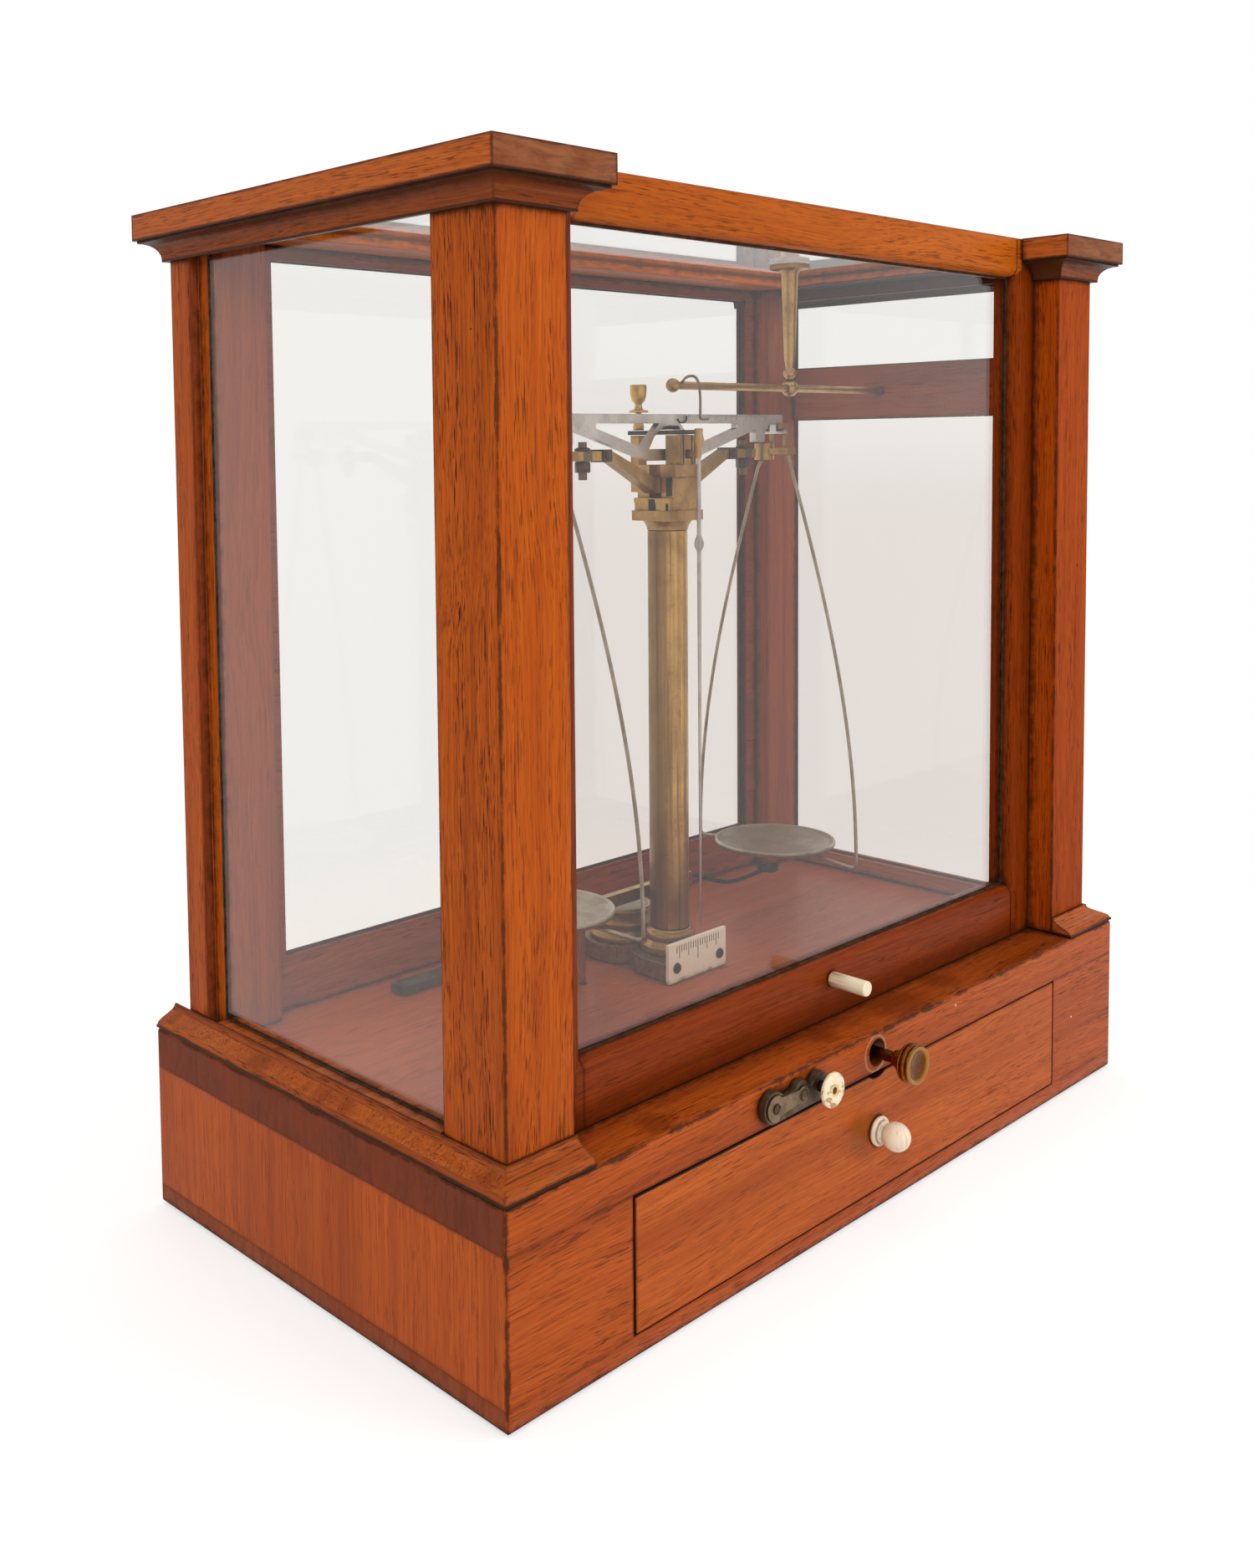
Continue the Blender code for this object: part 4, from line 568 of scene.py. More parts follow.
# band along a board: full below the first height, none beyond the second
def markBand(board, tone, full, none, strength):
    tree, shader, shade, spot = boardParts(board)
    uneven = noise(tree, spot["Object"], markLook["bandRough"], 3.0, 0.6)
    spread = markLook["bandSpread"] * abs(none - full)
    height = calc(tree, "ADD", axisOf(tree, spot, "z"), ramp(tree, uneven, 0.25, 0.75, -spread, spread))
    overlay(tree, shader, shade, ramp(tree, height, full, none, strength, 0.0), markTones[tone])


# dark worn edges of a box: the second smallest of the three distances to its faces is the way to an edge
def markEdges(name, low, high, reach, strength):
    tree, shader, shade, spot = boardParts(name)
    ways = []
    for axis, lowest, highest in zip("xyz", low, high):
        place = axisOf(tree, spot, axis)
        ways.append(calc(tree, "MINIMUM", calc(tree, "SUBTRACT", place, float(lowest)),
                         calc(tree, "SUBTRACT", float(highest), place)))
    first, second, third = ways
    edge = calc(tree, "MAXIMUM", calc(tree, "MINIMUM", first, second),
                calc(tree, "MINIMUM", calc(tree, "MAXIMUM", first, second), third))
    uneven = noise(tree, spot["Object"], markLook["edgeRough"], 4.0, 0.65)
    spread = markLook["edgeSpread"] * reach
    edge = calc(tree, "ADD", edge, ramp(tree, uneven, 0.25, 0.75, -spread, spread))
    dark = ramp(tree, edge, markLook["edgeFull"] * reach, reach, strength, 0.0)
    overlay(tree, shader, shade, dark, markTones["edge"])


# a rubbed ring at the shaft's mouth, a stain beside the drawer knob, damp spots on the ledge, and painted
# shadow in the drawer's notch
roundMarks = [
    dict(board="base_top_board", tone="rubbed", axis="y", middle=(-0.0012, 0.0703), inner=0.0078,
         outer=0.0086, strength=0.6, start=0.0076),
    dict(board="drawer_front", tone="stain", axis="y", middle=(-0.0135, 0.0375), inner=0.0035,
         outer=0.0135, strength=0.8),
    # painted shadow in the notch under the shaft
    dict(board="drawer_front", tone="paintedShadow", axis="y", middle=(0.0, 0.0705), inner=0.0112, outer=0.0116,
         strength=0.95),
]
dampSpots = ((0.035, -0.101, 0.026), (0.075, -0.097, 0.015), (-0.020, -0.098, 0.012), (-0.135, -0.104, 0.012))
for spotX, spotY, wide in dampSpots:
    roundMarks.append(dict(board="ledge", tone="damp", axis="z", middle=(spotX, spotY), inner=0.25 * wide,
                           outer=wide, strength=0.6))
for mark in roundMarks:
    markRound(**mark)

edgeWear = dict(base=(0.0016, 0.85), post=(0.0011, 0.75), cornice=(0.0011, 0.6))
for name in [key for key in woodBoards if key.startswith("base_") and "moulding" not in key] + ["ledge"]:
    markEdges(name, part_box("base_bottom_board")[0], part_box("base_top_board")[1], *edgeWear["base"])
for name, post in (("post_front_left", "left"), ("post_side", "left"), ("post_front_right", "right")):
    markEdges(name, *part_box("post_front_" + post), *edgeWear["post"])
for name in ("cornice_left", "cornice_right"):
    markEdges(name, *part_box(name), *edgeWear["cornice"])

# the ledge is lighter inside the case
indoors = dict(start=-0.082, end=-0.074, share=0.30)
tree, shader, shade, spot = boardParts("ledge")
lighterInside = ramp(tree, axisOf(tree, spot, "y"), indoors["start"], indoors["end"], 0.0, indoors["share"])
overlay(tree, shader, shade, lighterInside, markTones["indoor"])

# painted shadow of the gap over the drawer, along the top of its front, widest at the left
drawerGap = dict(front=-0.1122, rise=(0.0606, 0.0610), along=(-0.02, 0.10), least=0.2)
tree, shader, shade, spot = boardParts("drawer_front")
gap = times(tree, calc(tree, "LESS_THAN", axisOf(tree, spot, "y"), drawerGap["front"]),
            times(tree, ramp(tree, axisOf(tree, spot, "z"), *drawerGap["rise"]),
                  ramp(tree, axisOf(tree, spot, "x"), *drawerGap["along"], 1.0, drawerGap["least"])))
overlay(tree, shader, shade, gap, markTones["paintedShadow"])

# dark joints under the mouldings and between the slab of the top and its cove, the sash rail darker towards
# its foot, and painted shade on the cove under the slab
slabThick = 0.0110
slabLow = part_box("cornice_left")[1][2] - slabThick
bandMarks = (
    dict(boards=("base_moulding_left", "base_moulding_right", "moulding_front"), tone="joint",
         full=0.0803, none=0.0811, strength=0.95),
    dict(boards=("sash_bottom_rail",), tone="rail", full=0.0830, none=0.0920, strength=0.55),
    dict(boards=("cornice_left", "cornice_right"), tone="slab", full=slabLow + 0.0004,
         none=slabLow + 0.0013, strength=0.85),
    # painted shade: the top of the cove, under the slab, is darker
    dict(boards=("cove_side", "cove_front"), tone="shadedCove", full=slabLow - 0.0008, none=slabLow - 0.0045,
         strength=0.75),
)
for mark in bandMarks:
    for board in mark["boards"]:
        markBand(board, mark["tone"], mark["full"], mark["none"], mark["strength"])
print("marks and worn edges laid on")


# finished copies of the solids: merged, flat faces joined, sharp edges rounded off
edgeWidths = {"hardwood": 0.0006, "aged_brass": 0.00025, "bronze": 0.0004, "dark_steel": 0.0002,
              "beam_alloy": 0.0002, "bone": 0.0003, "nickel": 0.0002, "pane": 0.0}
wideEdges = {"cornice_left": 0.0013, "cornice_right": 0.0013, "post_front_left": 0.0010,
             "post_front_right": 0.0010, "sash_peg": 0.0012}
plainEdges = {"pointer", "rider_rod", "rider_bush", "pan_arrest_arm_left", "pan_arrest_arm_right"}
flushBoards = {"base_left_stile": (0.0, 0.0, 0.0003), "base_right_stile": (0.0, 0.0, 0.0003),
               "base_left_side": (0.0, 0.0003, 0.0003), "base_right_side": (0.0, 0.0003, 0.0003),
               "base_back_board": (0.0003, 0.0, 0.0003), "base_bottom_board": (0.0, 0.0, 0.0),
               "base_top_board": (0.0, 0.0, 0.0)}
drawerGrow = ((-0.0009, 0.0, 0.0005), (0.0004, 0.0, 0.0))  # low ends, then high ends
baseEdge = 0.0017
creaseAngle = math.radians(35)  # a sharper fold counts as an edge
loftCrease = math.radians(38)
flatAngle = math.radians(0.3)
baseLow = np.array(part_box("base_bottom_board")[0])
baseHigh = np.array(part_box("base_top_board")[1])
slopeUp = ((0, -1, 0), (0, -0.8, 0.6), (0, -0.5, 0.85))
slopeDown = ((0, -0.85, -0.5), (0, -0.6, -0.8))
slopeLeft = ((-0.85, 0, -0.5), (-0.6, 0, -0.8))
slopeRight = ((0.85, 0, -0.5), (0.6, 0, -0.8))
# faces turned some way take another finish: the inside faces of the posts take the darker inner tone and the
# coves the darker cove tone, both painted shade
turnedFaces = {
    "base_left_stile": (("base_left_side", ((-1, 0, 0),)),),
    "base_right_stile": (("base_right_side", ((1, 0, 0),)),),
    "base_top_board": (("ledge", ((0, 0, 1),)),),
    "base_moulding_left": (("moulding_front", slopeUp),),
    "base_moulding_right": (("moulding_front", slopeUp),),
    "cornice_left": (("cove_front", slopeDown), ("cove_side", slopeLeft)),
    "cornice_right": (("cove_front", slopeDown), ("cove_side", slopeRight)),
    "post_back_left": (("post_inside", ((0, -1, 0), (1, 0, 0))),),
    "post_back_right": (("post_inside", ((0, -1, 0), (-1, 0, 0))),),
    "post_front_left": (("post_side", ((-1, 0, 0),)), ("post_inside", ((0, 1, 0),))),
    "post_front_right": (("post_inside", ((0, 1, 0),)),),
}


def show(name, mesh, body, replaced=()):
    piece = bpy.data.objects.new(name, mesh)
    bpy.context.scene.collection.objects.link(piece)
    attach(piece, body)
    if replaced:
        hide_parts(*replaced)
    return piece


def ease(piece, width, limit="ANGLE"):
    bevel = piece.modifiers.new("eased edges", "BEVEL")
    bevel.width = width
    bevel.segments = 2
    bevel.limit_method = limit
    bevel.angle_limit = creaseAngle
    bevel.harden_normals = True


# points on the outer faces of the box move out by the given amounts, or in where they are negative
def softened(name, grow=(0.0, 0.0, 0.0), growHigh=None):
    source = nodes[name].data
    spots = np.empty(len(source.vertices) * 3)
    source.vertices.foreach_get("co", spots)
    corners = np.empty(len(source.loops), int)
    source.loops.foreach_get("vertex_index", corners)
    merged, index = np.unique(np.round(spots.reshape(-1, 3), 7), axis=0, return_inverse=True)
    faces = index.reshape(-1)[corners].reshape(-1, 3)
    alive = (faces[:, 0] != faces[:, 1]) & (faces[:, 1] != faces[:, 2]) & (faces[:, 0] != faces[:, 2])
    upper = merged > merged.max(0) - 1e-6
    lower = merged < merged.min(0) + 1e-6
    merged = merged + np.array(grow if growHigh is None else growHigh) * upper - np.array(grow) * lower
    if name in flushBoards:
        merged = np.clip(merged, baseLow, baseHigh)
    mesh = bpy.data.meshes.new(name + "_shape")
    mesh.from_pydata(merged.tolist(), [], faces[alive].tolist())
    body = bmesh.new()
    body.from_mesh(mesh)
    bmesh.ops.dissolve_limit(body, angle_limit=flatAngle, verts=body.verts, edges=body.edges)
    body.to_mesh(mesh)
    body.free()
    mesh.shade_smooth()
    mesh.set_sharp_from_angle(angle=creaseAngle)
    piece = show(name + "_finished", mesh, bodyOf[name], (name,))
    if name in flushBoards:
        markOuterEdges(mesh)
        ease(piece, baseEdge, "WEIGHT")
    elif name not in plainEdges and slotOf[name] != "pane":
        ease(piece, wideEdges.get(name, edgeWidths[slotOf[name]]))
    return piece


# flush boards are eased only where an edge lies on two outer faces of the base
def markOuterEdges(mesh):
    spots = np.empty(len(mesh.vertices) * 3)
    mesh.vertices.foreach_get("co", spots)
    ends = np.empty(len(mesh.edges) * 2, int)
    mesh.edges.foreach_get("vertices", ends)
    spots = spots.reshape(-1, 3)
    ends = ends.reshape(-1, 2)
    outer = np.concatenate([spots < baseLow + 1e-5, spots > baseHigh - 1e-5], 1)
    weight = ((outer[ends[:, 0]] & outer[ends[:, 1]]).sum(1) >= 2).astype(np.float32)
    mesh.attributes.new("bevel_weight_edge", "FLOAT", "EDGE").data.foreach_set("value", weight)


def facesToward(mesh, directions, least):
    normals = np.empty(len(mesh.polygons) * 3)
    mesh.polygons.foreach_get("normal", normals)
    return (normals.reshape(-1, 3) @ np.array(directions, float).T > least).any(1)


madeAnew = {"level_cup", "arrest_knob", "pan_button", "drawer_knob", "left_pan", "right_pan", "left_bow",
            "right_bow"}
facingLeast = dict(cornice=0.9, other=0.7)  # least cosine at which a face counts as turned that way
paneEdge = 0.00029
pieces = {}
for name, node in nodes.items():
    slot = slotOf[name]
    if name in madeAnew:
        continue
    if slot == "pane":
        size = np.array(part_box(name)[1]) - np.array(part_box(name)[0])
        across = np.eye(3)[int(np.argmin(size))]
        piece = softened(name, paneEdge * (1.0 - across))
        piece.data.materials.append(glassFinish("pane " + name, paneLooks.get(name, paneLooks["other"])))
        # the pane's edge faces are dark too: putty and painted shade
        piece.data.materials.append(puttyAndShade)
        rim = ~facesToward(piece.data, (across, -across), facingLeast["other"])
        piece.data.polygons.foreach_set("material_index", rim.astype(np.int32))
    else:
        grow = drawerGrow if name == "drawer_front" else (flushBoards.get(name, (0.0, 0.0, 0.0)),)
        piece = softened(name, *grow)
        piece.data.materials.append(special.get(name) or finishes.get(name) or shared[slot])
        slots = np.zeros(len(piece.data.polygons), np.int32)
        least = facingLeast["cornice" if name.startswith("cornice") else "other"]
        for place, (other, directions) in enumerate(turnedFaces.get(name, ())):
            piece.data.materials.append(finishes[other])
            slots[facesToward(piece.data, directions, least)] = place + 1
        piece.data.polygons.foreach_set("material_index", slots)
    pieces[name] = piece
print("finished pieces:", len(pieces))


# new shapes: rows of closed loops carried along a path, with a flat face at each end; a ring has none
def placed(axis, u, v, h):
    return np.stack({"x": (h, u, v), "y": (u, h, v), "z": (u, v, h)}[axis], -1)


# turned: middle + radius (cos a, sin a) at each height of the profile
def turnedGrid(axis, middle, profile, sides=48):
    around = np.linspace(0.0, 2 * math.pi, sides, endpoint=False) * (-1 if axis == "y" else 1)
    radius, height = np.array(profile, float).T[:, :, None]
    u = middle[0] + radius * np.cos(around)
    v = middle[1] + radius * np.sin(around)
    return placed(axis, u, v, np.broadcast_to(height, u.shape))


# slab: a flat outline carried straight through the heights
def slabGrid(axis, outline, heights):
    loop = np.array(outline, float)[::-1 if axis == "y" else 1]
    u, v = np.repeat(loop[None], len(heights), 0).transpose(2, 0, 1)
    return placed(axis, u, v, np.repeat(np.array(heights, float)[:, None], len(loop), 1))


def boxLoop(u0, v0, u1, v1):
    return [(u0, v0), (u1, v0), (u1, v1), (u0, v1)]


# bead: a rectangle and the same rectangle drawn in by its width, at two heights, closed both ways
def beadGrid(axis, corners, width, low, high):
    u0, v0, u1, v1 = corners
    outer = slabGrid(axis, boxLoop(u0, v0, u1, v1), (low, high))
    inner = slabGrid(axis, boxLoop(u0 + width, v0 + width, u1 - width, v1 - width), (high, low))
    return np.concatenate([outer, inner])


# wire: a circle square to a flat path, side = the path's plane normal, other = tangent x side
def wireGrid(path, radius, side, sides=10):
    tangent = np.gradient(path, axis=0)
    tangent /= np.linalg.norm(tangent, axis=1, keepdims=True)
    side = np.array(side, float)
    other = np.cross(tangent, side)
    around = np.linspace(0.0, 2 * math.pi, sides, endpoint=False)[None, :, None]
    return path[:, None] + radius * (np.cos(around) * side + np.sin(around) * other[:, None])


# corner cutting: each round puts points at a quarter and three quarters of every stretch
def rounded(path, rounds=2):
    path = np.array(path, float)
    for _ in range(rounds):
        quarter = 0.75 * path[:-1] + 0.25 * path[1:]
        threeQuarters = 0.25 * path[:-1] + 0.75 * path[1:]
        between = np.stack([quarter, threeQuarters], 1).reshape(-1, path.shape[1])
        path = np.concatenate([path[:1], between, path[-1:]])
    return path


def bandFaces(rows, columns, start, closed):
    row, column = np.meshgrid(np.arange(rows if closed else rows - 1), np.arange(columns), indexing="ij")
    up = (row + 1) % rows
    beside = (column + 1) % columns
    return (start + np.stack([row * columns + column, row * columns + beside, up * columns + beside,
                              up * columns + column], -1)).reshape(-1, 4).tolist()


def loft(name, grids, finish, body, replaced=(), closed=False, edge=0.0):
    faces = []
    start = 0
    for grid in grids:
        rows, columns, _ = grid.shape
        faces += bandFaces(rows, columns, start, closed)
        if not closed:
            faces.append(list(range(start + columns - 1, start - 1, -1)))
            faces.append(list(range(start + (rows - 1) * columns, start + rows * columns)))
        start += rows * columns
    mesh = bpy.data.meshes.new(name + "_shape")
    mesh.from_pydata(np.concatenate([grid.reshape(-1, 3) for grid in grids]).tolist(), [], faces)
    mesh.shade_smooth()
    mesh.set_sharp_from_angle(angle=loftCrease)
    mesh.materials.append(finish)
    piece = show(name, mesh, body, replaced)
    if edge:
        ease(piece, edge)
    return piece


# arrest knob: dished face, two beads with a dark groove, stepped collar, shaft with its eccentric
knobShape = dict(axis=(0.0, 0.0705), face=-0.1336, radius=0.0086, depth=0.0118, shaft=0.0025, tip=0.0195,
                 cam=0.0032, throw=0.0010, camFrom=0.0030, camTo=0.0080, collar=1.05,
                 profile=[(0.01, 0.135), (0.20, 0.130), (0.45, 0.118), (0.62, 0.095), (0.73, 0.055),
                          (0.79, 0.015), (0.86, 0.0), (0.92, 0.010), (0.955, 0.050), (0.955, 0.130),
                          (0.915, 0.160), (0.885, 0.175), (0.885, 0.200), (0.93, 0.215), (0.98, 0.250),
                          (1.0, 0.300), (0.98, 0.350), (0.93, 0.385), (0.89, 0.400), (0.89, 0.425),
                          (0.93, 0.440), (0.95, 0.475), (0.92, 0.520), (0.80, 0.555), (0.60, 0.590),
                          (0.555, 0.640), (0.555, 0.770), (0.53, 0.790), (0.44, 0.800), (0.42, 0.840),
                          (0.42, 0.960), (0.40, 0.985), (0.30, 1.0)])
# the rim tone is a painted highlight, and the darker middle of the face a painted reflection
knobLook = dict(faceDepth=0.16, rim=(0.0058, 0.0068), rimTone=(0.40, 0.195, 0.048), darkening=(0.0062, 0.0046),
                darkReflectionTone=(0.085, 0.040, 0.014), shank=0.97, shankTone=(0.085, 0.036, 0.017))
shape = knobShape
turn = [(share * shape["radius"], shape["face"] + part * shape["depth"]) for share, part in shape["profile"]]
turn += [(shape["shaft"], shape["face"] + shape["collar"] * shape["depth"]), (shape["shaft"], shape["tip"])]
cam = [(shape["cam"], shape["camFrom"]), (shape["cam"], shape["camTo"])]
camMiddle = (shape["axis"][0], shape["axis"][1] + shape["throw"])
finish, tree, shader, shade, spot = metalFinish("knob brass", "knobBrass")
look = knobLook
reach = awayFrom(tree, spot, "y", shape["axis"])
depth = axisOf(tree, spot, "y")
face = calc(tree, "LESS_THAN", depth, shape["face"] + look["faceDepth"] * shape["depth"])
rim = times(tree, face, ramp(tree, reach, *look["rim"]))
# painted highlight: a brighter ring near the rim of the dished face
shade = overlay(tree, shader, shade, times(tree, rim, 0.8), look["rimTone"])
# painted reflection: the middle of the dished face is darker, in patches
patches = ramp(tree, noise(tree, spot["Object"], 420.0, 4.0, 0.65), 0.34, 0.62, 0.15, 0.8)
darkening = times(tree, times(tree, face, ramp(tree, reach, *look["darkening"])), patches)
shade = overlay(tree, shader, shade, darkening, look["darkReflectionTone"])
shank = ramp(tree, depth, shape["face"] + look["shank"] * shape["depth"], shape["face"] + shape["depth"])
overlay(tree, shader, shade, times(tree, shank, 0.85), look["shankTone"])
loft("arrest_knob_turned", [turnedGrid("y", shape["axis"], turn, 64), turnedGrid("y", camMiddle, cam, 32)],
     finish, "arrest_control", ("arrest_knob",))

# pan button: a bone disc with a blind hole
buttonShape = dict(axis=(-0.0468, 0.0710), face=-0.1240, radius=0.0073, thick=0.0026, hole=0.0014,
                   bore=[(0.05, 0.7), (1.0, 0.7), (1.0, 0.12), (1.25, 0.02)],
                   profile=[(0.55, 0.0), (0.86, 0.05), (0.95, 0.15), (0.99, 0.32), (1.0, 0.5), (0.985, 0.74),
                            (0.93, 0.92), (0.85, 1.0), (0.05, 1.0)],
                   ring=(0.0019, 0.0030), ringTone=(0.62, 0.36, 0.05), shadow=(0.00125, 0.00155),
                   shadowTone=(0.020, 0.010, 0.006))
shape = buttonShape
front, deep = shape["face"], shape["thick"]
turn = [(share * shape["hole"], front + part * deep) for share, part in shape["bore"]]
turn += [(share * shape["radius"], front + part * deep) for share, part in shape["profile"]]
finish, tree, shader, shade, spot = boneFinish("bone button", "disc", (300.0, 300.0, 300.0))
reach = awayFrom(tree, spot, "y", shape["axis"])
shade = overlay(tree, shader, shade, ramp(tree, reach, *shape["ring"], 0.75, 0.0), shape["ringTone"])
overlay(tree, shader, shade, ramp(tree, reach, *shape["shadow"], 1.0, 0.0), shape["shadowTone"])
loft("pan_button_turned", [turnedGrid("y", shape["axis"], turn, 64)], finish, "pan_button_body",
     ("pan_button",))

# drawer knob: ball on a short neck, with a flange and a dirty groove
ballShape = dict(axis=(0.0, 0.0360), face=-0.1133, flange=0.0065, ball=0.0062, reach=0.0093,
                 arc=(2.0, 138.0),
                 profile=[(0.62, 0.0043), (0.66, 0.0037), (0.74, 0.0034), (0.76, 0.0030), (0.70, 0.0026),
                          (0.72, 0.0023), (0.90, 0.0022), (0.97, 0.0019), (1.0, 0.0013), (0.98, 0.0005),
                          (0.92, 0.0)])
shape = ballShape
turns = np.linspace(*np.radians(shape["arc"]), 22)
middle = shape["face"] - shape["reach"]
turn = list(zip(shape["ball"] * np.sin(turns), middle - shape["ball"] * np.cos(turns)))
turn += [(share * shape["flange"], shape["face"] - drop) for share, drop in shape["profile"]]
finish = boneFinish("bone drawer knob", "ball", (650.0, 650.0, 70.0))[0]
loft("drawer_knob_turned", [turnedGrid("y", shape["axis"], turn, 64)], finish, "drawer",
     ("drawer_knob",))

# hangers: dished pans, and bows that open as a quarter sine and turn in under the pan
hangerShape = dict(x=0.0840, y=0.0055, pan=0.0310, low=0.1238, high=0.1272, rim=0.0012, dish=0.0006,
                   wire=0.0009, top=0.0085, spread=0.0500, wireTop=0.3275, bowLow=0.1225, drumLow=0.3247,
                   twist={"left": 12.0, "right": 0.0}, bright=(0.66, 0.62, 0.50), brightFrom=0.0005,
                   brightTo=0.0001, under=0.0003, turnIn=2.2,
                   outside=[(0.02, 0.0), (0.86, 0.0), (0.93, 0.05), (0.975, 0.2), (1.0, 0.5), (1.0, 0.82),
                            (0.995, 0.94)],
                   inside=[(1.0, 0.0), (1.6, 0.6), (2.5, 1.0)])
shape = hangerShape
wire, wide, low, high = (shape[key] for key in ("wire", "pan", "low", "high"))
panLook, tree, shader, shade, spot = metalFinish("pan metal", "nickel", (1.0, 1.0, 1.0))
edge = ramp(tree, axisOf(tree, spot, "z"), high - shape["brightFrom"], high - shape["brightTo"])
overlay(tree, shader, shade, times(tree, edge, 0.6), shape["bright"])
turn = [(share * wide, low + part * (high - low)) for share, part in shape["outside"]]
turn += [(0.985 * wide, high)]
turn += [(wide - rims * shape["rim"], high - part * shape["dish"]) for rims, part in shape["inside"]]
turn += [(0.02 * wide, high - shape["dish"])]
steps = np.linspace(0.0, 1.0, 30)
legs = np.stack([shape["top"] + (shape["spread"] - shape["top"]) * np.sin(steps * math.pi / 2),
                 shape["wireTop"] - steps * (shape["wireTop"] - shape["bowLow"])], 1)
under = low - shape["under"] - wire
turnIn = shape["bowLow"] - shape["turnIn"] * wire
foot = [(shape["spread"], shape["bowLow"]), (shape["spread"] - 0.8 * wire, turnIn + wire),
        (shape["spread"] - 3 * wire, turnIn), (wide, under - 0.3 * wire), (0.6 * wide, under)]
half = np.concatenate([legs[:-1], rounded(foot)])
for label, sign in (("left", -1), ("right", 1)):
    x = sign * shape["x"]
    middle = (x, shape["y"])
    loft(label + "_pan_turned", [turnedGrid("z", middle, turn, 96)], panLook, label + "_hanger",
         (label + "_pan",))
    twist = math.radians(shape["twist"][label])
    out = np.concatenate([half[:, 0], -half[::-1, 0]])
    fall = np.concatenate([half[:, 1], half[::-1, 1]])
    fall[-1] = shape["drumLow"]
    path = np.stack([x + out * math.sin(twist), shape["y"] - out * math.cos(twist), fall], 1)
    loft(label + "_bow_bent", [wireGrid(path, wire, (math.cos(twist), math.sin(twist), 0.0))],
         shared["nickel"], label + "_hanger", (label + "_bow",))
print("turned and bent pieces made")

# sash corners: each rail's rounded section runs on over the hollow edge of the stiles
sashShape = dict(sight=0.1577, radius=0.0045, gap=0.0003, back=-0.0790, inset=0.0003)
shape = sashShape
quarter = np.linspace(0.0, math.pi / 2, 9)
for name, way in (("sash_bottom_rail", 1), ("sash_top_rail", -1)):
    lowest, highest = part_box(name)
    inner = highest[2] if way > 0 else lowest[2]
    outer = (lowest[2] if way > 0 else highest[2]) + way * shape["inset"]
    bendY = lowest[1] + shape["radius"] * (1.0 - np.cos(quarter))
    bendZ = inner - way * shape["radius"] * (1.0 - np.sin(quarter))
    loop = [(lowest[1], outer), *zip(bendY, bendZ), (shape["back"], inner), (shape["back"], outer)][::-way]
    reach = (shape["sight"] - shape["gap"], shape["sight"] + shape["radius"])
    ends = [sorted(sign * x for x in reach) for sign in (-1, 1)]
    loft(name + "_ends", [slabGrid("x", loop, pair) for pair in ends], finishes[name], "front_sash")


# glazing: dark putty beads along the edges of every pane, on both faces, which also stand for the shade in
# the gaps where the panes sit
glazing = dict(width=0.0008, inner=0.0005, thick=0.0005)  # width on the sash, inner on the other panes
for name in [key for key in nodes if slotOf[key] == "pane"]:
    lowest, highest = (np.array(corner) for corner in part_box(name))
    across = int(np.argmin(highest - lowest))
    first, second = [k for k in range(3) if k != across]
    corners = (lowest[first] - paneEdge, lowest[second] - paneEdge,
               highest[first] + paneEdge, highest[second] + paneEdge)
    levels = ((lowest[across] - glazing["thick"], lowest[across]),
              (highest[across], highest[across] + glazing["thick"]))
    width = glazing["width" if name == "sash_glass" else "inner"]
    loft(name + "_putty_and_shade", [beadGrid("xyz"[across], corners, width, *pair) for pair in levels],
         puttyAndShade, bodyOf[name], closed=True)


# screw: low domed head on a plate, with a dark slot laid across it
screwShape = dict(profile=[(1.0, 0.0), (1.0, 0.25), (0.86, 0.42), (0.03, 0.5)], top=0.5, slotHalf=0.8,
                  slotThin=0.11, slotLow=0.2, slotProud=0.00004)


def screwGrids(axis, middle, radius, base, way, slotTurn):
    shape = screwShape
    turn = [(share * radius, base + way * rise * radius) for share, rise in shape["profile"]]
    half, thin = shape["slotHalf"] * radius, shape["slotThin"] * radius
    loop = np.array(boxLoop(-half, -thin, half, thin))
    turnBy = np.array(((math.cos(slotTurn), -math.sin(slotTurn)), (math.sin(slotTurn), math.cos(slotTurn))))
    top = base + way * shape["top"] * radius
    levels = sorted((base + way * shape["slotLow"] * radius, top + way * shape["slotProud"]))
    slot = slabGrid(axis, loop @ turnBy.T + np.array(middle), levels)
    return turnedGrid(axis, middle, turn[::way], 28), slot


# index plate: bare ticks and two screws
indexMarks = dict(front=-0.0123, top=0.0971, pitch=0.0017, count=19, wide=0.00040, short=0.0034,
                  long=0.0062, centre=0.0092, thick=0.00005, screws=((-0.0155, 0.0866), (0.0160, 0.0864)),
                  screwRadius=0.0024, screwTurn=0.5)
marks = indexMarks
places = (np.arange(marks["count"]) - marks["count"] // 2) * marks["pitch"]
lengths = np.where(np.arange(marks["count"]) % 4 == 1, marks["long"], marks["short"])
lengths[marks["count"] // 2] = marks["centre"]
half = marks["wide"] / 2
ticks = [slabGrid("y", boxLoop(x - half, marks["top"] - tall, x + half, marks["top"]),
                  (marks["front"] - marks["thick"], marks["front"])) for x, tall in zip(places, lengths)]
loft("index_ticks", ticks, inkAndShade, "case")
heads, slots = zip(*[screwGrids("y", middle, marks["screwRadius"], marks["front"], -1, marks["screwTurn"])
                     for middle in marks["screws"]])
loft("index_screws", heads, shared["dark_steel"], "case")
loft("index_screw_slots", slots, inkAndShade, "case")

